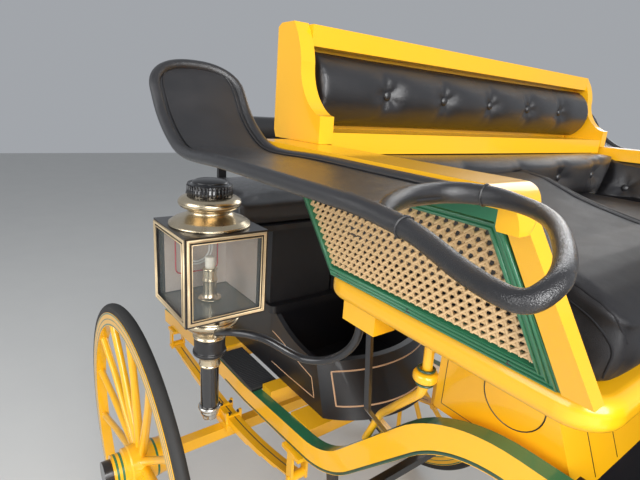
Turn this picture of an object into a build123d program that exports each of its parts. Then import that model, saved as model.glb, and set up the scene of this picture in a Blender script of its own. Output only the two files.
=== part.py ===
from build123d import *
import os
from math import asin, atan2, cos, degrees, pi, radians, sin, sqrt, tan

os.makedirs("parts", exist_ok=True)

# A four-wheeled horse drawn carriage, in millimetres.
# X points forward, Y to the left and Z up. The origin is on the floor, under the middle of the whole
# carriage as it stands with the tips of its shafts on the ground. Lengths along the carriage are
# measured forward from the rear axle, and at() turns them into X.

# wheels
rear_radius = 508.0
front_radius = 430.0
wheelbase = 1500.0
rear_track = 1245.0
front_track = 1160.0
rear_spokes = 14
front_spokes = 12
tyre_depth = 26.0
tyre_width = 30.0
felloe_depth = 42.0
felloe_width = 34.0
nave_length = 170.0
nave_radius = 62.0
nave_cap_radius = 40.0
nave_cap_length = 26.0
spoke_foot = 28.0
spoke_foot_wide = 26.0
spoke_tongue = 24.0
spoke_tongue_wide = 22.0
dish = 16.0
axle_arm_radius = 17.0
running_gap = 0.3

# sills, the S-shaped timbers that carry the body
sill_width = 34.0
sill_depth = 56.0
sill_outer = 320.0
sill_high = 1105.0
# forward place and height of the centre line's corners, and the radius of each bend between the ends
sill_corners = (
    (-600.0, 694.0, 0.0),
    (-240.0, 732.0, 600.0),
    (130.0, 735.0, 600.0),
    (553.0, 771.0, 245.0),
    (870.0, sill_high, 300.0),
    (1160.0, sill_high, 600.0),
    (wheelbase + 190.0, 1000.0, 0.0),
)

# springs
leaf_thick = 6.5
leaf_width = 40.0
leaf_count = 4
leaf_pitch = 5.9
spring_tail = 500.0
spring_front = 420.0
spring_seat = 24.0
spring_tail_eye = 602.0
spring_front_eye = 640.0
eye_radius = 13.0
eye_bore = 7.3
front_spring_half = 400.0
front_spring_y = 345.0

# driver's seat
seat_half = 445.0
seat_tail = 645.0
seat_front = 1130.0
seat_under = 1300.0
seat_thick = 45.0
seat_corner = 55.0
arm_top = 1568.0
arm_high = 32.0
arm_outer = 560.0
arm_inner = 486.0
arm_tail = 600.0
arm_front = 1060.0
arm_round = 62.0
post_width = 24.0
post_foot_depth = 34.0
post_head_depth = 24.0
panel_foot_y = 442.0
panel_head_y = 536.0
panel_tail = 676.0
panel_front_foot = 1083.0
panel_front_head = 1033.0
bottom_stile = 24.0
top_stile = 14.0
tail_stile = 12.0
front_stile_foot = 30.0
front_stile_head = 18.0
cane_thick = 3.0
frame_thick = 14.0
cushion_high = 95.0
cushion_inset = 32.0
driver_tail = 729.0
driver_front = 1108.0
driver_y = -188.0
driver_half = 220.0
driver_high_tail = 82.0
driver_high_front = 14.0
squab_thick = 36.0
squab_tail = 735.0
squab_front = 1027.0
squab_foot = 74.0
squab_head = 26.0
back_squab_thick = 62.0

# lazyback, the padded rest above the seat
back_half = 500.0
end_board = 27.0
back_high = 182.0
pad_above_arm = 22.0
pad_below_top = 38.0

# seat box under the driver's seat
box_half = 258.0
box_tail = 792.0
box_panel = 20.0
box_front_head = 972.0
box_front_foot = 1064.0

# leather wings beside the seat
wing_top = 1563.0
wing_thick = 12.0
wing_outer = 712.0
wing_front = 1010.0
wing_bend = 655.0
wing_tail = 520.0
wing_rise = 119.0
wing_edge = 6.5
# the loop's centre line: place forward of the wing's front, share of the wing's width outward, and height
# above the panel's middle
loop_line = (
    (-30.0, 0.16, 0.0),
    (10.0, 0.16, 1.0),
    (40.0, 0.17, 4.0),
    (85.0, 0.28, 5.0),
    (112.0, 0.48, 5.0),
    (143.0, 0.81, 4.0),
    (159.0, 1.03, 1.0),
    (161.0, 1.13, -4.0),
    (156.0, 1.18, -9.0),
    (142.0, 1.17, -11.0),
    (110.0, 1.09, -11.0),
    (62.0, 0.98, -6.0),
    (20.0, 0.95, -2.0),
    (-30.0, 0.95, 0.0),
)

# lamps
lamp_x = 372.0
lamp_y = 540.0
lamp_size = 179.0
lamp_low = 1184.0
lamp_high = 1370.0
lamp_bar = 14.0
lamp_socket_low = 1060.0
lamp_tail_low = 880.0
lamp_cap_high = 1466.0

# rear body
well_half = 225.0
well_low = 790.0
well_high = 945.0
well_front = 420.0
well_bow = 95.0
well_panel = 16.0
rear_riser = 130.0
rear_ledge = 158.0
rear_seat_low = 1000.0
rear_seat_thick = 24.0
rear_ledge_half = 245.0
rear_seat_half = 360.0
rear_frame_low = 1262.0
rear_frame_thick = 16.0
groove = 4.0
rear_seat_tail = -300.0
rear_cushion_thick = 70.0
rear_back_top = 1580.0

# step platforms between sill and footwell
step_tail = -50.0
step_front = 185.0
step_inner = 232.0
step_board = 8.0
mat_thick = 5.0

# front body
floor_low = 905.0
floor_thick = 20.0
toe_tail = wheelbase + 60.0
toe_front = wheelbase + 290.0
toe_head = 1130.0
dash_head = 1540.0
dash_lean = 95.0
dash_half = 330.0
dash_thick = 12.0

# fore-carriage
turn_radius = 230.0
turn_width = 40.0
turn_plate = 12.0
top_bed_high = 75.0
lower_bed_high = 66.0
bed_length = 90.0
kingpin_radius = 16.0
axle_half = 20.0
futchell_half = 165.0
splinter_x = wheelbase + 620.0
splinter_z = 760.0
splinter_half = 560.0
splinter_size = 46.0

# shafts
shaft_hinge_x = wheelbase + 690.0
shaft_hinge_z = 740.0
shaft_length = 2150.0
shaft_half_rear = 300.0
shaft_half_front = 250.0
shaft_radius = 21.0
shaft_bar = 330.0
hinge_pin = 9.7

# worked out from the sizes above
shaft_angle = degrees(asin((shaft_hinge_z - shaft_radius) / shaft_length))
shaft_reach = shaft_length * cos(radians(shaft_angle)) + shaft_radius
front_end = shaft_hinge_x + shaft_reach
sill_tail_tilt = atan2(sill_corners[1][1] - sill_corners[0][1], sill_corners[1][0] - sill_corners[0][0])
tail_end = sill_corners[0][0] - sill_depth / 2 * sin(sill_tail_tilt)
rear_axle_x = -(tail_end + front_end) / 2
front_axle_x = rear_axle_x + wheelbase
sill_y = sill_outer - sill_width / 2
seat_top = seat_under + seat_thick
back_top = arm_top + back_high
pad_low = arm_top + pad_above_arm
pad_high = back_top - pad_below_top
box_low = sill_high - sill_depth / 2
box_slope = (box_front_foot - box_front_head) / (seat_under - box_low)
box_lean = sqrt(1 + box_slope**2)
wing_width = wing_outer - arm_outer
axle_top = rear_radius + axle_half
sides = (("right", -1), ("left", 1))


def at(forward):
    """X of a place that lies this far forward of the rear axle."""
    return rear_axle_x + forward


def sill_centre(forward):
    """Height of a sill's centre line at a place on one of its straight stretches."""
    for (x0, z0, _), (x1, z1, _) in zip(sill_corners, sill_corners[1:]):
        if x0 <= forward <= x1:
            return z0 + (z1 - z0) * (forward - x0) / (x1 - x0)


def sill_reach(forward):
    """Height from a sill's centre line to its top or underside at the same place."""
    tilt = atan2(sill_centre(forward + 1) - sill_centre(forward - 1), 2)
    return sill_depth / 2 / cos(tilt)


def save(part, name):
    """Label a finished piece and write its STEP file."""
    part.label = name
    export_step(part, "parts/" + name + ".step")


# Wheels
# A nave (hub) with painted bands, tapered oval spokes set at a slight dish, and a felloe (wooden rim).


def build_wheel(radius, spokes):
    """A wheel about the Y axis at the origin, with its outer face towards -Y."""
    felloe_outer = radius - tyre_depth
    felloe_inner = felloe_outer - felloe_depth
    half = nave_length / 2

    with BuildPart() as spoke:
        with BuildSketch(Plane.XY.offset(nave_radius - 8)):
            Ellipse(spoke_foot_wide / 2, spoke_foot / 2)
        with BuildSketch(Plane((0, -dish * 0.55, (nave_radius + felloe_inner) / 2 + 60))):
            Ellipse(spoke_tongue_wide / 2 - 1, spoke_tongue / 2 - 1)
        with BuildSketch(Plane((0, -dish, felloe_inner + 8))):
            Ellipse(spoke_tongue_wide / 2, spoke_tongue / 2)
        loft(ruled=True)

    with BuildPart() as wheel:
        # the nave is a turned barrel with a raised band at each end and a bore for the axle arm
        with BuildSketch(Plane.XY):
            with BuildLine():
                Polyline(
                    (axle_arm_radius + running_gap, -half),
                    (nave_radius - 12, -half),
                    (nave_radius - 12, -half + 30),
                    (nave_radius - 4, -half + 34),
                    (nave_radius - 4, -half + 46),
                    (nave_radius, -half + 50),
                )
                Line((nave_radius, -half + 50), (nave_radius, half - 62))
                Polyline(
                    (nave_radius, half - 62),
                    (nave_radius - 6, half - 30),
                    (nave_radius - 6, half),
                    (axle_arm_radius + running_gap, half),
                    (axle_arm_radius + running_gap, -half),
                )
            make_face()
        revolve(axis=Axis.Y)
        for index in range(spokes):
            add(spoke.part.rotate(Axis.Y, index * 360 / spokes))
        with BuildSketch(Plane.XY):
            with Locations(((felloe_inner + felloe_outer) / 2, -dish)):
                Rectangle(felloe_depth, felloe_width)
        revolve(axis=Axis.Y)
        # the black cap screwed over the end of the axle arm
        with BuildSketch(Plane.XY):
            with Locations(((nave_cap_radius) / 2, -half - nave_cap_length / 2)):
                Rectangle(nave_cap_radius, nave_cap_length)
        revolve(axis=Axis.Y)
    return wheel.part


def build_tyre(radius):
    """A solid rubber tyre with a rounded tread, about the Y axis."""
    inner = radius - tyre_depth
    with BuildPart() as tyre:
        with BuildSketch(Plane.XY):
            with BuildLine():
                Polyline(
                    (radius - 9, -dish - tyre_width / 2),
                    (inner, -dish - tyre_width / 2),
                    (inner, -dish + tyre_width / 2),
                    (radius - 9, -dish + tyre_width / 2),
                )
                ThreePointArc(
                    (radius - 9, -dish + tyre_width / 2),
                    (radius, -dish),
                    (radius - 9, -dish - tyre_width / 2),
                )
            make_face()
        revolve(axis=Axis.Y)
    return tyre.part


# end, forward place, radius, half of the track, spokes
axles = (
    ("rear", 0.0, rear_radius, rear_track / 2, rear_spokes),
    ("front", wheelbase, front_radius, front_track / 2, front_spokes),
)
for end, forward, radius, half_track, spokes in axles:
    wheel_right = build_wheel(radius, spokes)
    tyre_right = build_tyre(radius)
    for side, sign in sides:
        for kind, piece in (("wheel", wheel_right), ("tyre", tyre_right)):
            turned = piece if sign < 0 else piece.mirror(Plane.XZ)
            placed = turned.moved(Location((at(forward), sign * (half_track - dish), radius)))
            save(placed, f"{end}_{kind}_{side}")


# Axles
# Each beam is a square bar between two collars, with a round arm at each end for the wheel.


def build_axle(forward, radius, half_track):
    """An axle beam with its two arms and collars."""
    nave_inner = half_track - dish - nave_length / 2
    nave_outer = half_track - dish + nave_length / 2
    with BuildPart() as axle:
        with Locations((at(forward), 0, radius)):
            Box(2 * axle_half - 4, 2 * nave_inner - 60, 2 * axle_half)
        for sign in (-1, 1):
            with BuildSketch(Plane((at(forward), sign * (nave_inner - 40), radius), z_dir=(0, sign, 0))):
                Circle(axle_half + 3)
            extrude(amount=40 - 2)
            with BuildSketch(Plane((at(forward), sign * (nave_inner - 3), radius), z_dir=(0, sign, 0))):
                Circle(axle_arm_radius)
            extrude(amount=nave_length - 2)
    return axle.part


save(build_axle(0.0, rear_radius, rear_track / 2), "rear_axle")
save(build_axle(wheelbase, front_radius, front_track / 2), "front_axle")

# Rear springs
# Semi-elliptic packs of leaves on top of the axle, under the sills. The master leaf ends in two eyes.

spring_top = axle_top + spring_seat + leaf_thick + (leaf_count - 1) * leaf_pitch


def leaf_face(step):
    """A leaf's side view: a band that rises from the axle both ways. Step counts leaves below the top one."""
    share = 1.0 - 0.2 * step
    tips = []
    for end, eye_z in ((-spring_tail, spring_tail_eye), (spring_front, spring_front_eye)):
        tips.append((end * share, (eye_z - spring_top) * share**2))
    (tail, tail_rise), (front, front_rise) = tips
    with BuildSketch(Plane.XZ) as face:
        with BuildLine():
            for top in (spring_top - step * leaf_pitch, spring_top - step * leaf_pitch - leaf_thick):
                ThreePointArc((tail, top + tail_rise), (tail / 2, top + tail_rise / 4), (0, top))
                ThreePointArc((0, top), (front / 2, top + front_rise / 4), (front, top + front_rise))
            for end, rise in tips:
                Line((end, top + rise), (end, top + rise + leaf_thick))
        make_face()
    return face.sketch


with BuildPart() as rear_springs:
    for side, sign in sides:
        for step in range(leaf_count):
            leaf = leaf_face(step)
            extrude(
                leaf.moved(Location((at(0), sign * sill_y + leaf_width / 2, 0))),
                amount=leaf_width,
            )
        for reach, eye_z in ((-spring_tail, spring_tail_eye), (spring_front, spring_front_eye)):
            with Locations((at(reach), sign * sill_y, eye_z - 2)):
                Cylinder(eye_radius, leaf_width, rotation=(90, 0, 0))
                Cylinder(eye_bore, leaf_width + 2, rotation=(90, 0, 0), mode=Mode.SUBTRACT)
save(rear_springs.part, "rear_springs")

# Clamp blocks hold each spring to the axle with two U-bolts.
with BuildPart() as spring_clamps:
    for side, sign in sides:
        block_high = spring_seat - 0.6
        with Locations((at(0), sign * sill_y, axle_top + 0.3 + block_high / 2)):
            Box(84, leaf_width + 16, block_high)
        for reach in (-34, 34):
            for edge in (-1, 1):
                with Locations((at(reach), sign * sill_y + edge * (leaf_width / 2 + 5), spring_top - 8)):
                    Box(9, 9, 60)
            with Locations((at(reach), sign * sill_y, spring_top + 6.2)):
                Box(9, leaf_width + 19, 9)
save(spring_clamps.part, "spring_clamps")

# Sills
# One long timber each side: low and level over the rear axle, an S-shaped kick up ahead of it, then high
# past the seat so that the front wheels can turn beneath, and down to the bed at the nose.


def sill_path():
    """Centre line of a sill in the plane of XZ, from tail to nose."""
    with BuildLine(Plane.XZ) as path:
        FilletPolyline(
            *[(at(forward), height) for forward, height, _ in sill_corners],
            radius=[bend for _, _, bend in sill_corners[1:-1]],
        )
    return path.line


with BuildPart() as sills:
    for side, sign in sides:
        line = sill_path().moved(Location((0, sign * sill_y, 0)))
        with BuildSketch(Plane(line @ 0, x_dir=(0, 1, 0), z_dir=line % 0)):
            Rectangle(sill_width, sill_depth)
        sweep(path=line)
save(sills.part, "sills")

# Bars between the sills. The one under the seat box runs below the sills, and the others fit between.
# forward place, height of the top, length along the carriage, thickness, half of the width
sill_inner = sill_outer - sill_width
well_bearer = well_low - 0.3
cross_bars_table = (
    (-405.0, 732.0, 60.0, 40.0, sill_inner - 0.3),
    (-255.0, well_bearer, 60.0, 58.0, sill_inner - 0.3),
    (-100.0, well_bearer, 60.0, 58.0, sill_inner - 0.3),
    (216.0, well_bearer, 50.0, 48.0, sill_inner - 0.3),
    (395.0, well_bearer, 90.0, 36.0, sill_inner - 0.3),
    (1012.0, box_low - 0.3, 44.0, 50.0, sill_outer - 4),
)
with BuildPart() as cross_bars:
    for forward, top, length, thick, half in cross_bars_table:
        with Locations((at(forward), 0, top - thick / 2)):
            Box(length, 2 * half, thick)
save(cross_bars.part, "cross_bars")

# Irons that join springs and sills: a shackle and roller at the tail, a fixed hanger at the front.
# forward place, height of the eye, length of the plate under the sill
iron_plate = 12.0
eye_pin = 7.0
cheek = 8.0
cheek_y = leaf_width / 2 + cheek / 2 + 0.3
spring_irons_table = (
    (-spring_tail, spring_tail_eye - 2, 60.0),
    (spring_front, spring_front_eye - 2, 80.0),
)
with BuildPart() as spring_irons:
    for side, sign in sides:
        for forward, eye_z, length in spring_irons_table:
            under = sill_centre(forward - length / 2) - sill_reach(forward) - 0.3
            with Locations((at(forward), sign * sill_y, eye_z)):
                Cylinder(eye_pin, leaf_width + 2 * cheek + 8, rotation=(90, 0, 0))
            with Locations((at(forward), sign * sill_y, under - iron_plate / 2)):
                Box(length, leaf_width + 2 * cheek + 0.6, iron_plate)
            for edge in (-1, 1):
                with Locations((at(forward), sign * sill_y + edge * cheek_y, (eye_z - 14 + under) / 2)):
                    Box(24, cheek, under - eye_z + 14)
save(spring_irons.part, "spring_irons")

# Seat box under the driver's seat: a hollow box whose front panel slopes forward at its foot.
with BuildPart() as seat_box:
    with BuildSketch(Plane.XZ.offset(-box_half)):
        Polygon(
            (at(box_tail), box_low),
            (at(box_front_foot), box_low),
            (at(box_front_head), seat_under - 0.3),
            (at(box_tail), seat_under - 0.3),
            align=None,
        )
    extrude(amount=2 * box_half)
    with BuildSketch(Plane.XZ.offset(-box_half + box_panel)):
        Polygon(
            (at(box_tail + box_panel), box_low + box_panel),
            (at(box_front_foot - box_panel * (box_lean + box_slope)), box_low + box_panel),
            (at(box_front_head - box_panel * (box_lean - box_slope)), seat_under - box_panel),
            (at(box_tail + box_panel), seat_under - box_panel),
            align=None,
        )
    extrude(amount=2 * (box_half - box_panel), mode=Mode.SUBTRACT)
save(seat_box.part, "seat_box")

# Seat board: a thick plank with a round nosing and round corners.
with BuildPart() as seat_board:
    with BuildSketch(Plane.XY.offset(seat_under)):
        with Locations((at((seat_tail + seat_front) / 2), 0)):
            RectangleRounded(seat_front - seat_tail, 2 * seat_half, seat_corner)
    extrude(amount=seat_thick)
    fillet(seat_board.edges().group_by(Axis.Z)[0], radius=seat_thick * 0.4)
    fillet(seat_board.edges().group_by(Axis.Z)[-1], radius=seat_thick * 0.4)
save(seat_board.part, "seat_board")


# Seat sides
# Each side leans outward: a yellow arm and front post, a green frame and a panel of woven cane.

lean = atan2(panel_head_y - panel_foot_y, arm_top - arm_high - seat_top)


side_height = (arm_top - arm_high - seat_top) / cos(lean)
tilt_gap = frame_thick / 2 * tan(lean) + 0.3
def side_plane(sign):
    """The leaning plane of one side's cane panel, with its origin at the foot."""
    return Plane(
        origin=(0, sign * panel_foot_y, seat_top + 0.3),
        x_dir=(1, 0, 0),
        z_dir=(0, -sign * cos(lean), sin(lean)),
    )


def side_outline(slope, foot, head, tail, front_foot, front_head):
    """Four corners of a shape in the leaning plane. Slope is the sign of the plane's Y up the panel."""
    return [
        (at(tail), slope * foot),
        (at(front_foot), slope * foot),
        (at(front_head), slope * head),
        (at(tail), slope * head),
    ]


def cane_hole(slope):
    """Corners of the opening in a cane frame."""
    return side_outline(
        slope,
        bottom_stile,
        side_height - top_stile,
        panel_tail + tail_stile,
        panel_front_foot - front_stile_foot,
        panel_front_head - front_stile_head,
    )


with BuildPart() as cane_frames:
    for side, sign in sides:
        plane = side_plane(sign)
        slope = 1 if plane.y_dir.Z > 0 else -1
        with BuildSketch(plane):
            outline = side_outline(
                slope,
                tilt_gap,
                side_height - tilt_gap,
                panel_tail + 1,
                panel_front_foot - 2,
                panel_front_head - 2,
            )
            Polygon(*outline, align=None)
            Polygon(*cane_hole(slope), align=None, mode=Mode.SUBTRACT)
        extrude(amount=frame_thick / 2, both=True)
save(cane_frames.part, "cane_frames")

with BuildPart() as cane_panels:
    for side, sign in sides:
        plane = side_plane(sign)
        slope = 1 if plane.y_dir.Z > 0 else -1
        with BuildSketch(plane):
            Polygon(*cane_hole(slope), align=None)
        extrude(amount=cane_thick / 2, both=True)
save(cane_panels.part, "cane_panels")

for side, sign in sides:
    arm_y = sign * (arm_inner + arm_outer) / 2
    with BuildPart() as arm:
        with BuildSketch(Plane.XZ.offset(-arm_y - (arm_outer - arm_inner) / 2)):
            with BuildLine():
                Line((at(arm_tail), arm_top), (at(arm_front - 46), arm_top))
                ThreePointArc(
                    (at(arm_front - 46), arm_top),
                    (at(arm_front - 14), arm_top - 10),
                    (at(arm_front), arm_top - 40),
                )
                Line((at(arm_front), arm_top - 40), (at(arm_front - 22), arm_top - 40))
                Line((at(arm_front - 22), arm_top - 40), (at(arm_front - 26), arm_top - arm_high))
                Line((at(arm_front - 26), arm_top - arm_high), (at(arm_tail), arm_top - arm_high))
                Line((at(arm_tail), arm_top - arm_high), (at(arm_tail), arm_top))
            make_face()
        extrude(amount=arm_outer - arm_inner)
        # the inner corner at the front is a quarter circle in plan
        with BuildSketch(Plane.XY.offset(arm_top - 60)):
            with BuildLine():
                arm_middle = arm_inner + arm_round
                Polyline(
                    (at(arm_front - arm_round), sign * arm_inner),
                    (at(arm_tail - 1), sign * arm_inner),
                    (at(arm_tail - 1), sign * arm_outer),
                    (at(arm_front), sign * arm_outer),
                    (at(arm_front), sign * arm_middle),
                )
                ThreePointArc(
                    (at(arm_front), sign * arm_middle),
                    (at(arm_front - arm_round * 0.293), sign * (arm_middle - arm_round * 0.707)),
                    (at(arm_front - arm_round), sign * arm_inner),
                )
            make_face()
        extrude(amount=80, mode=Mode.INTERSECT)
    with BuildPart() as post:
        with BuildSketch(Plane.XY.offset(seat_top + 0.3)):
            with Locations((at(panel_front_foot + post_foot_depth / 2), sign * (panel_foot_y - 2))):
                Rectangle(post_foot_depth, post_width)
        with BuildSketch(Plane.XY.offset(arm_top - 30)):
            with Locations((at(panel_front_head + post_head_depth / 2), sign * (panel_head_y - 2))):
                Rectangle(post_head_depth, post_width)
        loft(ruled=True)
    with BuildPart() as side_frame:
        add(arm.part)
        add(post.part)
    save(side_frame.part, f"seat_side_{side}")

# Lazyback: two end boards with S-shaped front edges on the arms, two rails between them and a long pad.
end_inner = back_half - end_board
back_foot = arm_top + 0.3
with BuildPart() as back_ends:
    for side, sign in sides:
        with BuildSketch(Plane.XZ.offset(-(sign * (back_half - end_board / 2)) - end_board / 2)):
            with BuildLine():
                Polyline(
                    (at(682), back_foot),
                    (at(556), back_foot),
                    (at(550), back_foot + 12),
                    (at(552), back_top - 6),
                    (at(562), back_top),
                    (at(598), back_top),
                )
                knee = back_foot + back_high * 0.67
                foot = back_foot + back_high * 0.24
                ThreePointArc((at(598), back_top), (at(613), back_top - back_high * 0.14), (at(623), knee))
                ThreePointArc((at(623), knee), (at(634), knee - back_high * 0.24), (at(672), foot))
                Polyline((at(672), foot), (at(682), foot - 2), (at(682), back_foot))
            make_face()
        extrude(amount=end_board)
save(back_ends.part, "back_ends")

with BuildPart() as back_rails:
    for tail, front, low, high in (
        (558.0, 612.0, pad_high + 4, back_top - 2),
        (570.0, 680.0, back_foot - 16, pad_low - 4),
    ):
        with Locations((at((tail + front) / 2), 0, (low + high) / 2)):
            Box(front - tail, 2 * end_inner - 0.6, high - low)
    with Locations((at(572), 0, (pad_low + pad_high) / 2)):
        Box(12, 2 * end_inner - 0.6, pad_high - pad_low + 10)
save(back_rails.part, "back_rails")

with BuildPart() as back_pad:
    with BuildSketch(Plane.XZ.offset(-end_inner + 8)):
        with BuildLine():
            Polyline((at(604), pad_low), (at(578.3), pad_low), (at(578.3), pad_high), (at(598), pad_high))
            ThreePointArc(
                (at(598), pad_high), (at(640), (pad_low + pad_high) / 2), (at(604), pad_low)
            )
        make_face()
    extrude(amount=2 * end_inner - 16)
save(back_pad.part, "back_pad")

# Seat back panel below the lazyback, with its squab, and a squab along each side.
panel_top = back_foot - 16.3
with BuildPart() as seat_back:
    with BuildSketch(Plane.YZ.offset(at(seat_tail + 2))):
        Polygon(
            (-panel_foot_y + 14, seat_top + 0.3),
            (panel_foot_y - 14, seat_top + 0.3),
            (panel_head_y - 22, arm_top - arm_high - 1),
            (end_inner, arm_top - arm_high - 1),
            (end_inner, panel_top),
            (-end_inner, panel_top),
            (-end_inner, arm_top - arm_high - 1),
            (-panel_head_y + 22, arm_top - arm_high - 1),
            align=None,
        )
    extrude(amount=16)
save(seat_back.part, "seat_back_panel")

squab_low = seat_top + cushion_high + 4
with BuildPart() as back_squab:
    with BuildSketch(Plane.YZ.offset(at(seat_tail + 18.6))):
        Polygon(
            (-panel_foot_y + 34, squab_low),
            (panel_foot_y - 34, squab_low),
            (panel_head_y - 80, panel_top - 14),
            (-panel_head_y + 80, panel_top - 14),
            align=None,
        )
    extrude(amount=back_squab_thick)
save(back_squab.part, "back_squab")

with BuildPart() as side_squabs:
    for side, sign in sides:
        plane = side_plane(sign)
        slope = 1 if plane.y_dir.Z > 0 else -1
        with BuildSketch(plane.offset(frame_thick / 2 + 0.3)):
            Polygon(
                (at(squab_tail), slope * squab_foot),
                (at(squab_front), slope * squab_foot),
                (at(squab_front), slope * (side_height - squab_head)),
                (at(squab_tail), slope * (side_height - squab_head)),
                align=None,
            )
        extrude(amount=squab_thick)
save(side_squabs.part, "side_squabs")

# Box cushion over the whole seat, and the driver's wedge cushion on top of it.
cushion_tail = seat_tail + 22
cushion_front = seat_front - cushion_inset
with BuildPart() as seat_cushion:
    with BuildSketch(Plane.XY.offset(seat_top + 0.3)):
        with Locations((at((cushion_tail + cushion_front) / 2), 0)):
            RectangleRounded(cushion_front - cushion_tail, 2 * (panel_foot_y - cushion_inset), 30)
    extrude(amount=cushion_high)
save(seat_cushion.part, "seat_cushion")

driver_low = seat_top + cushion_high + 0.6
with BuildPart() as driver_cushion:
    with BuildSketch(Plane.XZ.offset(-driver_y - driver_half)):
        Polygon(
            (at(driver_tail), driver_low),
            (at(driver_front), driver_low),
            (at(driver_front), driver_low + driver_high_front),
            (at(driver_tail), driver_low + driver_high_tail),
            align=None,
        )
    extrude(amount=2 * driver_half)
    fillet(driver_cushion.edges().filter_by(Axis.Z), radius=25)
save(driver_cushion.part, "driver_cushion")

# Wings
# A long leather panel on an iron frame beside each arm. It is flat beside the seat, its tail curves up
# and ends round, and its front ends in an open leather-covered loop around the front post.

for side, sign in sides:
    middle = (arm_outer + 0.6 + wing_outer) / 2
    with BuildPart() as wing:
        with BuildSketch(Plane.XZ.offset(-sign * middle - wing_width / 2)):
            with BuildLine() as edge:
                upper = FilletPolyline(
                    (at(wing_front + 20), wing_top),
                    (at(wing_bend - 25), wing_top - 4),
                    (at(wing_tail), wing_top + wing_rise),
                    radius=110,
                )
                lower = FilletPolyline(
                    (at(wing_front + 20), wing_top - wing_thick),
                    (at(wing_bend - 30), wing_top - wing_thick - 4),
                    (at(wing_tail - 9), wing_top + wing_rise - 9),
                    radius=120,
                )
                Line(upper @ 0, lower @ 0)
                Line(upper @ 1, lower @ 1)
            make_face()
        extrude(amount=wing_width)
        with BuildSketch(Plane.XY.offset(wing_top - 60)):
            with BuildLine():
                inner = sign * (arm_outer + 0.3)
                outer = sign * (wing_outer - wing_edge / 2)
                Polyline(
                    (at(wing_tail + 46), inner),
                    (at(wing_front - 12), inner),
                    (at(wing_front + 10), outer),
                    (at(wing_tail + 40), outer),
                )
                ThreePointArc(
                    (at(wing_tail + 40), outer),
                    (at(wing_tail - 8), sign * (middle - 4)),
                    (at(wing_tail + 46), inner),
                )
            make_face()
        extrude(amount=wing_rise + 100, mode=Mode.INTERSECT)
        # the front loop is a round tube
        loop_points = [
            (
                at(wing_front + forward),
                sign * (arm_outer + share * wing_width),
                wing_top - wing_thick / 2 + above,
            )
            for forward, share, above in loop_line
        ]
        with BuildLine() as loop:
            Spline(*loop_points)
        with BuildSketch(Plane(loop.line @ 0, z_dir=loop.line % 0)):
            Circle(wing_edge)
        sweep(path=loop.line)
    save(wing.part, f"wing_{side}")

# Lamps
# A square black case with open windows, glass in the windows, and brass mounts above and below.
lamp_half = lamp_size / 2
lamp_middle = (lamp_low + lamp_high) / 2
window = lamp_size - 2 * lamp_bar
window_high = lamp_high - lamp_low - 2 * lamp_bar
pane_thick = 3.0
with BuildPart() as lamp_cases:
    for side, sign in sides:
        with Locations((at(lamp_x), sign * lamp_y, lamp_middle)):
            Box(lamp_size, lamp_size, lamp_high - lamp_low)
            Box(window, window, window_high, mode=Mode.SUBTRACT)
            # windows in the front and on the outer side
            with Locations((lamp_half, 0, 0)):
                Box(3 * lamp_bar, window, window_high, mode=Mode.SUBTRACT)
            with Locations((0, sign * lamp_half, 0)):
                Box(window, 3 * lamp_bar, window_high, mode=Mode.SUBTRACT)
save(lamp_cases.part, "lamp_cases")

with BuildPart() as lamp_glass:
    for side, sign in sides:
        with Locations((at(lamp_x) + lamp_half - lamp_bar / 2, sign * lamp_y, lamp_middle)):
            Box(pane_thick, window - 0.6, window_high - 0.6)
        with Locations((at(lamp_x), sign * (lamp_y + lamp_half - lamp_bar / 2), lamp_middle)):
            Box(window - 0.6, pane_thick, window_high - 0.6)
save(lamp_glass.part, "lamp_glass")

# turned outlines about the lamp's upright axis: radius and height of each corner
chimney_outline = (
    (0, lamp_high + 0.3),
    (84, lamp_high + 0.3),
    (84, lamp_high + 6),
    (74, lamp_high + 13),
    (48, lamp_high + 22),
    (38, lamp_high + 34),
    (40, lamp_high + 42),
    (58, lamp_high + 46),
    (60, lamp_high + 52),
    (50, lamp_high + 58),
    (0, lamp_high + 58),
)
dish_outline = (
    (0, lamp_low - 0.3),
    (64, lamp_low - 0.3),
    (60, lamp_low - 10),
    (30, lamp_low - 34),
    (0, lamp_low - 34),
)
cap_outline = (
    (0, lamp_high + 58.3),
    (44, lamp_high + 58.3),
    (46, lamp_high + 70),
    (44, lamp_high + 82),
    (30, lamp_cap_high - 4),
    (14, lamp_cap_high),
    (0, lamp_cap_high),
)
tube_outline = (
    (0, lamp_low - 34.3),
    (29, lamp_low - 34.3),
    (29, lamp_socket_low + 24),
    (24, lamp_socket_low + 20),
    (21, lamp_socket_low),
    (21, lamp_tail_low + 26),
    (15, lamp_tail_low + 10),
    (0, lamp_tail_low),
)


def turned_pair(*outlines):
    """Solids of revolution about both lamps' upright axes."""
    with BuildPart() as turned:
        for outline in outlines:
            with BuildSketch(Plane.XZ):
                Polygon(*outline, align=None)
            revolve(axis=Axis.Z)
    with BuildPart() as pair:
        for side, sign in sides:
            add(turned.part.moved(Location((at(lamp_x), sign * lamp_y, 0))))
    return pair.part


save(turned_pair(chimney_outline, dish_outline), "lamp_brass")
save(turned_pair(cap_outline, tube_outline), "lamp_tubes")

# Curved iron bracket from a block under the tail of the seat board to each lamp's socket.
block_x = 735.0
block_y = 405.0
block_length = 80.0
block_high = 36.0
block_foot = seat_under - 0.3 - block_high
rod_radius = 8.0
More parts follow.
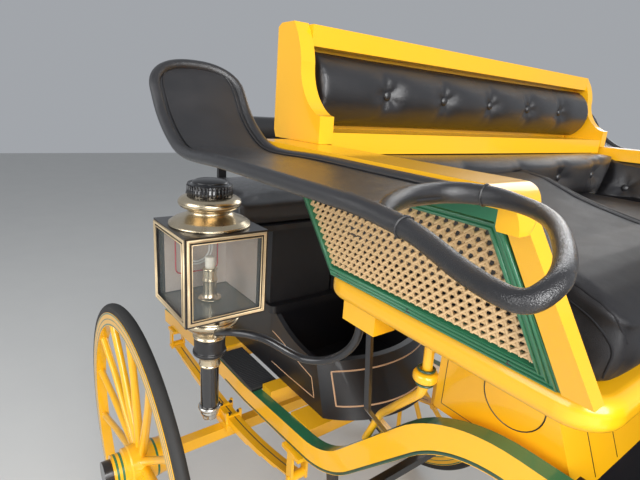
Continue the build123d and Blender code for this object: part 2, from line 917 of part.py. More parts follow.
# the rod's centre line: shares of the way forward and outward from block to lamp, and height above the
# lamp's floor
bracket_line = (
    (0.063, 0.0, 45.0),
    (0.185, 0.10, -18.0),
    (0.364, 0.33, -42.0),
    (0.515, 0.70, -14.0),
    (0.66, 0.97, -14.0),
    (0.905, 1.0, -60.0),
)
with BuildPart() as lamp_brackets:
    for side, sign in sides:
        rod_points = [
            (
                at(block_x + forward * (lamp_x - block_x)),
                sign * (block_y + outward * (lamp_y - block_y)),
                lamp_low + above,
            )
            for forward, outward, above in bracket_line
        ]
        with BuildLine() as rod:
            Spline((at(block_x - 21), sign * block_y, block_foot - 0.9), *rod_points)
        with BuildSketch(Plane(rod.line @ 0, z_dir=rod.line % 0)):
            Circle(rod_radius)
        sweep(path=rod.line)
save(lamp_brackets.part, "lamp_brackets")

# The room below the top of the sills' steep part, which cuts the feet that stand on it.
steep_tail = 630.0
steep_front = 790.0
with BuildPart() as steep_room:
    with BuildSketch(Plane.XZ.offset(-seat_half)):
        Polygon(
            (at(steep_tail), sill_centre(steep_tail) + sill_reach(steep_tail) + 0.3),
            (at(steep_front), sill_centre(steep_front) + sill_reach(steep_front) + 0.3),
            (at(steep_front), 800),
            (at(steep_tail), 800),
            align=None,
        )
    extrude(amount=2 * seat_half)
below_sills = steep_room.part

# Seat irons: the yellow blocks under the seat board and the round scroll irons with turned collars.
scroll_x = 866.0
scroll_y = 398.0
scroll_radius = 8.0
collar_radius = 20.0
collar_drop = 69.0
with BuildPart() as collar:
    Cylinder(collar_radius, 18)
    fillet(collar.edges(), radius=7)
with BuildPart() as seat_irons:
    for side, sign in sides:
        with Locations((at(block_x), sign * block_y, block_foot + block_high / 2)):
            Box(block_length, 50, block_high)
        with BuildLine() as scroll:
            FilletPolyline(
                (at(scroll_x), sign * scroll_y, seat_under - 0.3),
                (at(scroll_x + 2), sign * scroll_y, seat_under - 95),
                (at(scroll_x - 166), sign * (sill_y + 2), seat_under - 283),
                (at(scroll_x - 211), sign * (sill_y - 8), seat_under - 380),
                radius=70,
            )
        with BuildSketch(Plane(scroll.line @ 0, z_dir=scroll.line % 0)):
            Circle(scroll_radius)
        sweep(path=scroll.line)
        add(collar.part.moved(Location((at(scroll_x), sign * scroll_y, seat_under - collar_drop))))
    add(below_sills, mode=Mode.SUBTRACT)
save(seat_irons.part, "seat_irons")

# Flat black stays from the blocks down to the sills.
stay_x = 741.0
stay_knee_drop = 202.0
with BuildPart() as seat_stays:
    for side, sign in sides:
        with BuildLine() as bar:
            FilletPolyline(
                (at(stay_x), sign * block_y, block_foot - 0.9),
                (at(stay_x + 11), sign * (block_y - 5), seat_under - stay_knee_drop),
                (at(stay_x - 11), sign * sill_y, seat_under - 320),
                radius=12,
            )
        with BuildSketch(Plane(bar.line @ 0, x_dir=(1, 0, 0), z_dir=bar.line % 0)):
            Rectangle(12, 7)
        sweep(path=bar.line, transition=Transition.RIGHT)
    add(below_sills, mode=Mode.SUBTRACT)
save(seat_stays.part, "seat_stays")

# Rear body
# A narrow black tub with a raked, bowed front panel and an open top in front of the rear seat.


def well_outline(corner, bow, half):
    """Plan of the tub at one height: straight sides and a bowed front."""
    with BuildSketch(Plane.XY) as plan:
        with BuildLine():
            Polyline(
                (at(corner), -half),
                (at(rear_riser - 2), -half),
                (at(rear_riser - 2), half),
                (at(corner), half),
            )
            ThreePointArc((at(corner), half), (at(corner + bow), 0), (at(corner), -half))
        make_face()
    return plan.sketch


well_rake = 48.0
with BuildPart() as rear_footwell:
    add(well_outline(well_front, well_bow, well_half).moved(Location((0, 0, well_low))))
    add(
        well_outline(well_front - 1.4 * well_rake, well_bow * 0.62, well_half).moved(
            Location((0, 0, rear_seat_low + 5))
        )
    )
    loft()
    add(
        well_outline(well_front - 20, well_bow - 2, well_half - well_panel).moved(
            Location((0, 0, well_low + well_panel))
        )
    )
    add(
        well_outline(well_front - 1.4 * well_rake - 20, well_bow * 0.62 - 2, well_half - well_panel).moved(
            Location((0, 0, rear_seat_low + 6))
        )
    )
    loft(mode=Mode.SUBTRACT)
    # the side panels fall in a curve from the seat to the front panel
    with BuildSketch(Plane.XZ.offset(-well_half - 20)):
        with BuildLine():
            ThreePointArc(
                (at(rear_riser + 20), rear_seat_low + 0.5),
                (at(rear_riser + 100), well_high + 16),
                (at(well_front - well_rake), well_high),
            )
            Polyline(
                (at(well_front - well_rake), well_high),
                (at(well_front + 200), well_high),
                (at(well_front + 200), rear_seat_low + 100),
                (at(rear_riser + 20), rear_seat_low + 100),
                (at(rear_riser + 20), rear_seat_low + 0.5),
            )
        make_face()
    extrude(amount=2 * well_half + 40, mode=Mode.SUBTRACT)
    # the riser under the seat is open to the tub, and the seat box closes it
    with Locations((at(rear_riser), 0, rear_seat_low + 4)):
        Box(200, 3 * well_half, 8.6, mode=Mode.SUBTRACT)
save(rear_footwell.part, "rear_footwell")

with BuildPart() as rear_box:
    with Locations((at((rear_riser - 2.3 + rear_seat_tail) / 2), 0, (well_low + rear_seat_low) / 2)):
        Box(rear_riser - 2.3 - rear_seat_tail, 2 * well_half, rear_seat_low - well_low - 0.6)
        with Locations((0, 0, -well_panel)):
            Box(
                rear_riser - 2.3 - rear_seat_tail - 2 * well_panel,
                2 * well_half - 2 * well_panel,
                rear_seat_low - well_low,
                mode=Mode.SUBTRACT,
            )
save(rear_box.part, "rear_seat_box")

with BuildPart() as rear_board:
    with BuildSketch(Plane.XY.offset(rear_seat_low)):
        with Locations((at((rear_ledge + rear_seat_tail - 10) / 2), 0)):
            RectangleRounded(rear_ledge - rear_seat_tail + 10, 2 * rear_ledge_half, 20)
    extrude(amount=rear_seat_thick)
save(rear_board.part, "rear_seat_board")

# The leather-covered riser on the ledge is in two halves with a groove between them.
rear_seat_top = rear_seat_low + rear_seat_thick
with BuildPart() as rear_riser_pads:
    for sign in (-1, 1):
        with Locations(
            (
                at((rear_riser + rear_seat_tail) / 2),
                sign * (rear_ledge_half - 10 + groove) / 2,
                (rear_seat_top + rear_frame_low) / 2,
            )
        ):
            Box(
                rear_riser - rear_seat_tail,
                rear_ledge_half - 10 - groove,
                rear_frame_low - rear_seat_top - 0.6,
            )
save(rear_riser_pads.part, "rear_seat_riser")

with BuildPart() as rear_frame:
    with BuildSketch(Plane.XY.offset(rear_frame_low)):
        with Locations((at((rear_riser + 12 + rear_seat_tail) / 2), 0)):
            RectangleRounded(rear_riser + 12 - rear_seat_tail, 2 * rear_seat_half, 20)
    extrude(amount=rear_frame_thick)
save(rear_frame.part, "rear_seat_frame")

rear_cushion_low = rear_frame_low + rear_frame_thick + 0.3
with BuildPart() as rear_cushion:
    with BuildSketch(Plane.XY.offset(rear_cushion_low)):
        with Locations((at((rear_riser + rear_seat_tail) / 2), 0)):
            RectangleRounded(rear_riser - rear_seat_tail, 2 * rear_seat_half - 16, 24)
    extrude(amount=rear_cushion_thick)
save(rear_cushion.part, "rear_cushion")

rear_iron_y = 190.0
rear_iron = 16.0
rear_iron_x = rear_seat_tail - 10.3 - rear_iron / 2
rear_pad_high = 120.0
rear_pad_thick = 66.0
with BuildPart() as rear_back:
    for sign in (-1, 1):
        with Locations(
            (at(rear_iron_x), sign * rear_iron_y, (rear_seat_low - 40 + rear_back_top - 20) / 2)
        ):
            Box(rear_iron, 30, rear_back_top - rear_seat_low + 20)
save(rear_back.part, "rear_back_irons")

with BuildPart() as rear_pad:
    pad_tail = rear_iron_x + rear_iron / 2 + 0.3
    with BuildSketch(Plane.XZ.offset(-rear_seat_half)):
        with BuildLine():
            Polyline(
                (at(pad_tail + 20), rear_back_top),
                (at(pad_tail), rear_back_top - 16),
                (at(pad_tail), rear_back_top - rear_pad_high),
                (at(pad_tail + 30), rear_back_top - rear_pad_high),
            )
            ThreePointArc(
                (at(pad_tail + 30), rear_back_top - rear_pad_high),
                (at(pad_tail + rear_pad_thick), rear_back_top - rear_pad_high / 2),
                (at(pad_tail + 20), rear_back_top),
            )
        make_face()
    extrude(amount=2 * rear_seat_half)
save(rear_pad.part, "rear_back_pad")

# Step platforms on the sills, each with a textured mat.
step_z = sill_centre(step_front) + sill_reach(step_front) + 0.3
with BuildPart() as step_boards:
    for side, sign in sides:
        with Locations((at((step_tail + step_front) / 2), sign * (sill_outer + step_inner) / 2, step_z)):
            Box(
                step_front - step_tail,
                sill_outer - step_inner,
                step_board,
                align=(Align.CENTER, Align.CENTER, Align.MIN),
            )
save(step_boards.part, "step_boards")
with BuildPart() as step_mats:
    for side, sign in sides:
        with Locations(
            (at((step_tail + step_front) / 2), sign * (sill_outer + step_inner) / 2, step_z + step_board + 0.3)
        ):
            Box(
                step_front - step_tail + 4,
                sill_outer - step_inner + 4,
                mat_thick,
                align=(Align.CENTER, Align.CENTER, Align.MIN),
            )
save(step_mats.part, "step_mats")

# Brake
# A wooden block bears on each rear tyre from the front, on a bar that crosses under the sills.
brake_z = 620.0
hanger_thick = 12.0
brake_touch = sqrt(rear_radius**2 - (brake_z - rear_radius) ** 2)
with BuildPart() as brake_gear:
    for side, sign in sides:
        with BuildSketch(Plane.XZ.offset(-sign * rear_track / 2 - 22)):
            with BuildLine():
                Polyline(
                    (at(brake_touch + 14), brake_z - 50),
                    (at(brake_touch + 44), brake_z - 50),
                    (at(brake_touch + 44), brake_z + 50),
                    (at(brake_touch - 8), brake_z + 50),
                )
                ThreePointArc(
                    (at(brake_touch - 8), brake_z + 50),
                    (at(brake_touch + 6), brake_z),
                    (at(brake_touch + 14), brake_z - 50),
                )
            make_face()
        extrude(amount=44)
    with Locations((at(brake_touch + 44 + 12), 0, brake_z)):
        Box(24, rear_track + 40, 24)
    for side, sign in sides:
        with BuildSketch(Plane.XZ.offset(-sign * (sill_inner - hanger_thick / 2 - 0.3) - hanger_thick / 2)):
            Polygon(
                (at(brake_touch + 46), brake_z - 12),
                (at(brake_touch + 68), brake_z - 12),
                (at(brake_touch + 60), sill_centre(brake_touch + 60)),
                (at(brake_touch + 20), sill_centre(brake_touch + 20)),
                align=None,
            )
        extrude(amount=hanger_thick)
save(brake_gear.part, "brake_gear")

# Front body
# A footwell between the sills with a raked toe board, and a leather dash on an iron frame above it.
front_half = sill_outer - sill_width - 0.3
panel = 18.0
riser_thick = panel * box_lean
cheek_top = sill_high + 26
cheek_front = wheelbase - 278


def riser_front(height):
    """Forward place of the seat box's front carried on down to this height."""
    return box_front_foot + (box_low - height) * box_slope


with BuildPart() as front_footwell:
    with BuildSketch(Plane.XZ.offset(-front_half)):
        Polygon(
            (at(riser_front(box_low - 0.3) - riser_thick), box_low - 0.3),
            (at(riser_front(floor_low) - riser_thick), floor_low),
            (at(toe_tail), floor_low),
            (at(toe_front), toe_head),
            (at(toe_front - 34), toe_head),
            (at(toe_tail - 30), floor_low + 60),
            (at(cheek_front), cheek_top),
            (at(box_front_foot + 2), cheek_top),
            (at(box_front_foot + 2), box_low - 0.3),
            align=None,
        )
    extrude(amount=2 * front_half)
    with BuildSketch(Plane.XZ.offset(-front_half + panel)):
        Polygon(
            (at(riser_front(toe_head + 60)), toe_head + 60),
            (at(riser_front(floor_low + floor_thick)), floor_low + floor_thick),
            (at(toe_tail - 8), floor_low + floor_thick),
            (at(toe_front - 22), toe_head + 2),
            (at(toe_front - 22), toe_head + 60),
            align=None,
        )
    extrude(amount=2 * front_half - 2 * panel, mode=Mode.SUBTRACT)
save(front_footwell.part, "front_footwell")

with BuildPart() as dash:
    with BuildSketch(Plane.XZ.offset(-dash_half)):
        with BuildLine():
            front_curve = ThreePointArc(
                (at(toe_front - 8), toe_head + 0.3),
                (at(toe_front + 50), (toe_head + dash_head) / 2),
                (at(toe_front + dash_lean), dash_head),
            )
            back_curve = ThreePointArc(
                (at(toe_front - 8 - dash_thick), toe_head + 0.3),
                (at(toe_front + 50 - dash_thick), (toe_head + dash_head) / 2),
                (at(toe_front + dash_lean - dash_thick), dash_head),
            )
            Line(front_curve @ 0, back_curve @ 0)
            Line(front_curve @ 1, back_curve @ 1)
        make_face()
    extrude(amount=2 * dash_half)
save(dash.part, "dash")

# Upper half of the turntable: a wooden bed under the front floor and an iron ring beneath it.
ring_top = floor_low - top_bed_high
with BuildPart() as top_bed:
    with Locations((at(wheelbase), 0, floor_low - 0.3 - top_bed_high / 2)):
        Box(bed_length, 2 * front_half, top_bed_high - 0.6)
    with BuildSketch(Plane.XY.offset(ring_top - turn_plate)):
        with Locations((at(wheelbase), 0)):
            Circle(turn_radius)
            Circle(turn_radius - turn_width, mode=Mode.SUBTRACT)
            Rectangle(bed_length, 2 * turn_radius - 20)
            Circle(kingpin_radius + running_gap, mode=Mode.SUBTRACT)
    extrude(amount=turn_plate)
    with BuildSketch(Plane.XY.offset(ring_top - turn_plate)):
        with Locations((at(wheelbase), 0)):
            Circle(kingpin_radius + running_gap)
    extrude(amount=60, mode=Mode.SUBTRACT)
save(top_bed.part, "top_bed")

# Fore-carriage
# The lower ring and bed turn on the kingpin, and carry the springs, axle and draught gear.
lower_ring = ring_top - turn_plate - running_gap
lower_bed_z = lower_ring - turn_plate
with BuildPart() as lower_bed:
    with BuildSketch(Plane.XY.offset(lower_bed_z)):
        with Locations((at(wheelbase), 0)):
            Circle(turn_radius)
            Circle(turn_radius - turn_width, mode=Mode.SUBTRACT)
            Rectangle(bed_length, 2 * turn_radius - 20)
    extrude(amount=turn_plate)
    with Locations((at(wheelbase), 0, lower_bed_z - lower_bed_high / 2)):
        Box(bed_length, 2 * front_spring_y + 70, lower_bed_high)
    with Locations((at(wheelbase), 0, lower_ring)):
        Cylinder(kingpin_radius, 56, align=(Align.CENTER, Align.CENTER, Align.MIN))
save(lower_bed.part, "lower_bed")

# Two full elliptic springs: an upper and a lower pack of leaves, pinned together at the ends.
front_axle_top = front_radius + axle_half
spring_high = lower_bed_z - lower_bed_high - front_axle_top - 0.6
front_leaves = 3
leaf_rise = spring_high / 2 - front_leaves * leaf_thick
with BuildPart() as front_springs:
    for side, sign in sides:
        for flip in (1, -1):
            middle_z = front_axle_top + 0.3 + spring_high / 2
            for step in range(front_leaves):
                share = 1.0 - 0.24 * step
                reach = front_spring_half * share
                end_z = leaf_rise * (1 - share**2) + step * leaf_thick
                crown = leaf_rise + step * leaf_thick
                with BuildSketch(Plane.XZ.offset(-sign * front_spring_y - leaf_width / 2)):
                    with BuildLine():
                        ThreePointArc(
                            (at(wheelbase) - reach, middle_z + flip * end_z),
                            (at(wheelbase), middle_z + flip * crown),
                            (at(wheelbase) + reach, middle_z + flip * end_z),
                        )
                        Line(
                            (at(wheelbase) + reach, middle_z + flip * end_z),
                            (at(wheelbase) + reach, middle_z + flip * (end_z + leaf_thick)),
                        )
                        ThreePointArc(
                            (at(wheelbase) + reach, middle_z + flip * (end_z + leaf_thick)),
                            (at(wheelbase), middle_z + flip * (crown + leaf_thick)),
                            (at(wheelbase) - reach, middle_z + flip * (end_z + leaf_thick)),
                        )
                        Line(
                            (at(wheelbase) - reach, middle_z + flip * (end_z + leaf_thick)),
                            (at(wheelbase) - reach, middle_z + flip * end_z),
                        )
                    make_face()
                extrude(amount=leaf_width)
        for reach in (-front_spring_half, front_spring_half):
            with Locations((at(wheelbase) + reach, sign * front_spring_y, middle_z)):
                Cylinder(eye_radius, leaf_width, rotation=(90, 0, 0))
save(front_springs.part, "front_springs")

# Futchells run forward from the lower bed to the splinter bar.
with BuildPart() as futchells:
    for side, sign in sides:
        with BuildLine() as bar:
            FilletPolyline(
                (at(wheelbase) - 210, sign * futchell_half, lower_bed_z - 20),
                (at(wheelbase) + bed_length / 2 + 60, sign * futchell_half, lower_bed_z - 20),
                (at(splinter_x) - 130, sign * (futchell_half + 40), splinter_z),
                (at(splinter_x) - splinter_size / 2 - 0.3, sign * (futchell_half + 40), splinter_z),
                radius=200,
            )
        with BuildSketch(Plane(bar.line @ 0, x_dir=(0, 1, 0), z_dir=bar.line % 0)):
            Rectangle(34, 38)
        sweep(path=bar.line)
    with Locations((at(wheelbase), 0, lower_bed_z - lower_bed_high / 2)):
        Box(bed_length + 0.6, 4 * front_spring_y, lower_bed_high + 0.6, mode=Mode.SUBTRACT)
save(futchells.part, "futchells")

# Splinter bar with an iron roller bolt near each end for the traces.
roller_radius = 12.0
roller_length = 60.0
roller_y = splinter_half - 60
with BuildPart() as splinter_bar:
    with Locations((at(splinter_x), 0, splinter_z)):
        Box(splinter_size, 2 * splinter_half, splinter_size)
    fillet(splinter_bar.edges().filter_by(Axis.Y), radius=8)
    for side, sign in sides:
        with Locations((at(splinter_x), sign * roller_y, splinter_z + splinter_size / 2)):
            Cylinder(roller_radius, roller_length, align=(Align.CENTER, Align.CENTER, Align.MIN))
        # ears that hold the shafts
        for edge in (-1, 1):
            with Locations((at(shaft_hinge_x) - 14, sign * shaft_half_rear + edge * 30, shaft_hinge_z + 8)):
                Box(shaft_hinge_x - splinter_x + 8, 12, 44)
        with Locations((at(shaft_hinge_x), sign * shaft_half_rear, shaft_hinge_z)):
            Cylinder(hinge_pin, 60, rotation=(90, 0, 0))
save(splinter_bar.part, "splinter_bar")

# Shafts
# Two bent wooden shafts hinged at the splinter bar. At rest their tips lie on the ground.

cosine = cos(radians(shaft_angle))
sine = sin(radians(shaft_angle))


def shaft_point(along, y, above):
    """A place on the shafts: along the line from hinge to tip, and square to it."""
    return (
        at(shaft_hinge_x) + along * cosine + above * sine,
        y,
        shaft_hinge_z - along * sine + above * cosine,
    )


shaft_bend = 700.0
shaft_start = 220.0
shaft_eye = 20.0
eye_half = 18.0
with BuildPart() as shafts:
    for side, sign in sides:
        with BuildLine() as line:
            FilletPolyline(
                shaft_point(12, sign * shaft_half_rear, 0),
                shaft_point(shaft_start, sign * shaft_half_rear, 0),
                shaft_point(shaft_bend, sign * (shaft_half_rear - 20), 60),
                shaft_point(1500, sign * (shaft_half_front + 10), 70),
                shaft_point(shaft_length, sign * shaft_half_front, 0),
                radius=400,
            )
        with BuildSketch(Plane(line.line @ 0, z_dir=line.line % 0)):
            Circle(shaft_radius)
        sweep(path=line.line)
        with Locations(Location(shaft_point(shaft_length, sign * shaft_half_front, 0))):
            Sphere(shaft_radius)
        # eye on the hinge pin
        with Locations((at(shaft_hinge_x), sign * shaft_half_rear, shaft_hinge_z)):
            Cylinder(shaft_eye, 2 * eye_half, rotation=(90, 0, 0))
            Cylinder(hinge_pin + running_gap, 4 * eye_half, rotation=(90, 0, 0), mode=Mode.SUBTRACT)
save(shafts.part, "shafts")

bar_share = (shaft_bar - shaft_start) / (shaft_bend - shaft_start)
bar_half = shaft_half_rear - 20 * bar_share - shaft_radius - 1.2
with BuildPart() as shaft_cross:
    with Locations(Location(shaft_point(shaft_bar, 0, 60 * bar_share), (0, shaft_angle, 0))):
        Box(40, 2 * bar_half, 30)
save(shaft_cross.part, "shaft_cross_bar")
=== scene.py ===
# %% [markdown]
# # A four-wheeled horse drawn carriage
# This lesson dresses a CAD model of a restored carriage: yellow coach paint with green lines, black
# leather, woven cane and brass lamps. The CAD solids give every size, and Blender adds what a drawing
# leaves out, such as the swell of a cushion, the weave of the cane and the sheen of the varnish.
# Units are metres. X points forward, Y to the carriage's left and Z up, and the floor is at Z = 0.

# %% Load the frame
import math

import bmesh
import bpy
import numpy as np
from mathutils import Matrix, Vector
from mathutils.bvhtree import BVHTree


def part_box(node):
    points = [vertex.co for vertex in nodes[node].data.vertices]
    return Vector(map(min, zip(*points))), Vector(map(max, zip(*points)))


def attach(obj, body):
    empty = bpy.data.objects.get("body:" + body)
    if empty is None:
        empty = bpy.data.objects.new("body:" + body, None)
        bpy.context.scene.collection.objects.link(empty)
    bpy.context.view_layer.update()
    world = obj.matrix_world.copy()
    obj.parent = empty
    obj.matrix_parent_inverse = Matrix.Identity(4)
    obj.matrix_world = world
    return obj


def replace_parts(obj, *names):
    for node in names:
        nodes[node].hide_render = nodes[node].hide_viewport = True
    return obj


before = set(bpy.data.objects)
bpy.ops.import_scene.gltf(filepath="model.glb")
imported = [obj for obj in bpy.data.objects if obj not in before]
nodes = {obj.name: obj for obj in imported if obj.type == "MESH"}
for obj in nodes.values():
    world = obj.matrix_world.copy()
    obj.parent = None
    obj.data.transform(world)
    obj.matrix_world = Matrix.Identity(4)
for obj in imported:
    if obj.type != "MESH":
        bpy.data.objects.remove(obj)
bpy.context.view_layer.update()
print("CAD nodes:", len(nodes))

# %% [markdown]
# ## Places read from the frame
# A carriage builder measures forward from the rear axle. The frame gives the axle's place, so each
# later piece can be placed by the same few distances as the real one.

# %% Axle places
def centre(node):
    """Middle of a CAD node's box."""
    low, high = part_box(node)
    return (low + high) / 2


rear_axle, front_axle = centre("rear_axle"), centre("front_axle")
sides = (("right", -1), ("left", 1))


def at(forward):
    """X of a place this far forward of the rear axle."""
    return rear_axle.x + forward


print("wheelbase:", round(front_axle.x - rear_axle.x, 3))

# %% [markdown]
# ## Shader groups
# Coach paint is many coats of colour under varnish. A group of nodes holds what every paint shares, the
# faint brush marks and the dust, and each material adds its own Principled shader with a clear coat.
# The next helpers build such groups and the materials that use them.

# %% Helpers for shader trees
def put(tree, kind, **values):
    """A new node. Each value is a socket to link from, a setting or an input's own value."""
    node = tree.nodes.new(kind)
    for key, value in values.items():
        label = key.replace("_", " ")
        if isinstance(value, bpy.types.NodeSocket):
            tree.links.new(value, node.inputs[label])
        elif hasattr(node, key):
            setattr(node, key, value)
        else:
            node.inputs[label].default_value = value
    return node


def new_group(name, outputs=("Colour", "Roughness", "Normal"), **inputs):
    """A shader group. A tuple makes a colour input and a number makes a float input."""
    kinds = {"Colour": "NodeSocketColor", "Normal": "NodeSocketVector", tuple: "NodeSocketColor"}
    group = bpy.data.node_groups.new(name, "ShaderNodeTree")
    for label, value in inputs.items():
        kind = kinds.get(type(value), "NodeSocketFloat")
        made = group.interface.new_socket(name=label.replace("_", " "), in_out="INPUT", socket_type=kind)
        made.default_value = value
    for label in outputs:
        kind = kinds.get(label, "NodeSocketFloat")
        group.interface.new_socket(name=label, in_out="OUTPUT", socket_type=kind)
    return group, group.nodes.new("NodeGroupInput").outputs


def fill_input(tree, socket, value):
    """Link a socket to an input, or set the input's own value."""
    if isinstance(value, bpy.types.NodeSocket):
        tree.links.new(value, socket)
    else:
        socket.default_value = value


def calc(tree, operation, first, second=None, clamp=False):
    """The output of a Math node whose inputs are sockets or numbers."""
    node = put(tree, "ShaderNodeMath", operation=operation, use_clamp=clamp)
    fill_input(tree, node.inputs[0], first)
    if second is not None:
        fill_input(tree, node.inputs[1], second)
    return node.outputs[0]


def mix_colour(tree, share, first, second):
    """The mix of two colours, each a socket or a tuple."""
    node = put(tree, "ShaderNodeMix", data_type="RGBA")
    factor_slot, first_slot, second_slot = 0, 6, 7
    fill_input(tree, node.inputs[factor_slot], share)
    fill_input(tree, node.inputs[first_slot], first)
    fill_input(tree, node.inputs[second_slot], second)
    return node.outputs[2]


def noise(tree, scale, detail, roughness):
    """A noise over the object's own coordinates."""
    place = put(tree, "ShaderNodeTexCoord").outputs["Object"]
    return put(tree, "ShaderNodeTexNoise", Vector=place, Scale=scale, Detail=detail, Roughness=roughness).outputs["Fac"]


def surface(name, slot, group, values, lines=None, **shader):
    """A material: one use of a group, and a Principled shader of its own with plain values."""
    material = bpy.data.materials.new(name)
    material.use_nodes = True
    tree = material.node_tree
    tree.nodes.clear()
    if lines:
        values["Colour"] = lines(tree)
    used = put(tree, "ShaderNodeGroup", node_tree=group, **values).outputs
    if group.name == "leather":
        shader["Coat_Normal"] = used["Normal"]
    principled = put(
        tree,
        "ShaderNodeBsdfPrincipled",
        Base_Color=used["Colour"],
        Roughness=used["Roughness"],
        Normal=used["Normal"],
        **shader,
    )
    put(tree, "ShaderNodeOutputMaterial", Surface=principled.outputs["BSDF"])
    return material


# %% Coach paint
def make_paint_group():
    """Colour coats with faint brush marks and a little dust."""
    group, given = new_group("coach paint", Colour=(0.8, 0.5, 0.02, 1), Roughness=0.3, Dust=0.1)
    patches = noise(group, 5.0, 5.0, 0.65)
    dusty = calc(group, "MULTIPLY", calc(group, "SUBTRACT", patches, 0.35, clamp=True), given["Dust"])
    bump = put(group, "ShaderNodeBump", Strength=0.08, Distance=0.0004, Height=noise(group, 150.0, 2.0, 0.5))
    put(
        group,
        "NodeGroupOutput",
        Colour=mix_colour(group, dusty, given["Colour"], (0.3, 0.25, 0.18, 1)),
        Roughness=calc(group, "ADD", given["Roughness"], dusty, clamp=True),
        Normal=bump.outputs["Normal"],
    )
    return group


def make_line_group():
    """A mask that is 1 where a value lies within a half width of a middle: one painted line."""
    group, given = new_group("painted line", ("Mask",), Value=0.0, Middle=0.0, Half_Width=0.002)
    away = calc(group, "ABSOLUTE", calc(group, "SUBTRACT", given["Value"], given["Middle"]))
    put(group, "NodeGroupOutput", Mask=calc(group, "LESS_THAN", away, given["Half Width"]))
    return group


paint_group = make_paint_group()
line_group = make_line_group()
YELLOW = (0.87, 0.44, 0.005, 1)
GREEN = (0.018, 0.15, 0.065, 1)
BLACK = (0.006, 0.006, 0.008, 1)
PEACH = (0.62, 0.38, 0.22, 1)


def paint(name, slot, colour, roughness=0.3, dust=0.1, coat=0.6, lines=None):
    """Coach paint of one colour under varnish."""
    values = {"Colour": colour, "Roughness": roughness, "Dust": dust}
    return surface(name, slot, paint_group, values, lines, Coat_Weight=coat, Coat_Roughness=0.07)


yellow_paint = paint("yellow_paint", "yellow_wood", YELLOW)
green_paint = paint("green_paint", "green_wood", GREEN)
black_paint = paint("black_paint", "black_iron", BLACK, 0.38, 0.04, 0.2)
black_iron = paint("black_iron", "black_iron", BLACK, 0.32, 0.06, 0.4)
line_green = paint("line_green", "green_wood", (0.012, 0.06, 0.03, 1), 0.3, 0.02, 0.5)
line_black = paint("line_black", "black_wood", (0.01, 0.01, 0.008, 1), 0.3, 0.02, 0.5)
line_peach = paint("line_peach", "black_wood", PEACH, 0.35, 0.02, 0.5)

# %% [markdown]
# ## Painted wheels and sills
# A coach painter turns the wheel and holds the brush still, so wheel lines are circles about the axle.
# The material measures each point's distance from the axle and paints where a line lies. The sills are
# yellow on their sides and green on top and below, which follows from the way each face points.

# %% Wheel and sill paint
def coordinates(tree, kind="Object"):
    """X, Y and Z of the place in the object, or of its normal."""
    return put(tree, "ShaderNodeSeparateXYZ", Vector=put(tree, "ShaderNodeTexCoord").outputs[kind]).outputs


def line_mask(tree, value, middle, half):
    """The mask socket of one painted line."""
    used = put(tree, "ShaderNodeGroup", node_tree=line_group, Value=value, Middle=middle, Half_Width=half)
    return used.outputs["Mask"]


def wheel_lines(axle, wheel, radius):
    """A function that builds the painted circles of one wheel in a material."""
    nave_out, nave_radius = abs(centre(wheel).y), 0.085

    def build(tree):
        place = coordinates(tree)
        dx = calc(tree, "SUBTRACT", place["X"], axle.x)
        dz = calc(tree, "SUBTRACT", place["Z"], axle.z)
        squares = calc(tree, "ADD", calc(tree, "MULTIPLY", dx, dx), calc(tree, "MULTIPLY", dz, dz))
        from_axle = calc(tree, "SQRT", squares)
        outward = calc(tree, "ABSOLUTE", place["Y"])
        colour = YELLOW
        for inward, half in ((0.030, 0.0022), (0.047, 0.0016), (0.064, 0.0022)):
            colour = mix_colour(tree, line_mask(tree, from_axle, radius - inward, half), colour, GREEN)
        near_nave = calc(tree, "LESS_THAN", from_axle, nave_radius)
        nave_bands = ((0.045, 0.0035, GREEN), (0.06, 0.0035, GREEN), (0.12, 0.05, BLACK), (-0.055, 0.0035, GREEN))
        for out, half, tint in nave_bands:
            band = calc(tree, "MULTIPLY", line_mask(tree, outward, nave_out + out, half), near_nave)
            colour = mix_colour(tree, band, colour, tint)
        return colour

    return build


def sill_lines(tree):
    """Yellow where a face looks sideways, green where it looks up or down."""
    facing = coordinates(tree, "Normal")
    sideways = calc(tree, "GREATER_THAN", calc(tree, "ABSOLUTE", facing["Y"]), 0.8)
    return mix_colour(tree, sideways, GREEN, YELLOW)


def seat_side_lines(tree):
    """The seat side is yellow, with a green band low on the arm where it meets the green frame."""
    place = coordinates(tree)
    arm_out, arm_low, arm_front = 0.545, 1.548, at(1.036)
    outer = calc(tree, "GREATER_THAN", calc(tree, "ABSOLUTE", place["Y"]), arm_out)
    low = calc(tree, "LESS_THAN", place["Z"], arm_low)
    behind = calc(tree, "LESS_THAN", place["X"], arm_front)
    band = calc(tree, "MULTIPLY", calc(tree, "MULTIPLY", outer, low), behind)
    return mix_colour(tree, band, YELLOW, GREEN)


def lamp_tube_lines(tree):
    """The candle tube is black between a brass ring and a brass foot."""
    ring_middle, ring_half, foot_top = 1.0465, 0.0125, 0.918
    height = coordinates(tree)["Z"]
    colour = mix_colour(tree, line_mask(tree, height, ring_middle, ring_half), BLACK, (0.6, 0.45, 0.2, 1))
    return mix_colour(tree, calc(tree, "LESS_THAN", height, foot_top), colour, (0.55, 0.48, 0.36, 1))


rear_lines = wheel_lines(rear_axle, "rear_tyre_right", 0.508)
front_lines = wheel_lines(front_axle, "front_tyre_right", 0.43)
rear_wheel_paint = paint("rear_wheel_paint", "yellow_wood", YELLOW, lines=rear_lines)
front_wheel_paint = paint("front_wheel_paint", "yellow_wood", YELLOW, lines=front_lines)
sill_paint = paint("sill_paint", "yellow_wood", YELLOW, lines=sill_lines)
seat_side_paint = paint("seat_side_paint", "yellow_wood", YELLOW, lines=seat_side_lines)
lamp_tube_paint = paint("lamp_tube_paint", "black_iron", BLACK, 0.16, 0.03, 0.8, lines=lamp_tube_lines)
print("paints:", [material.name for material in bpy.data.materials])

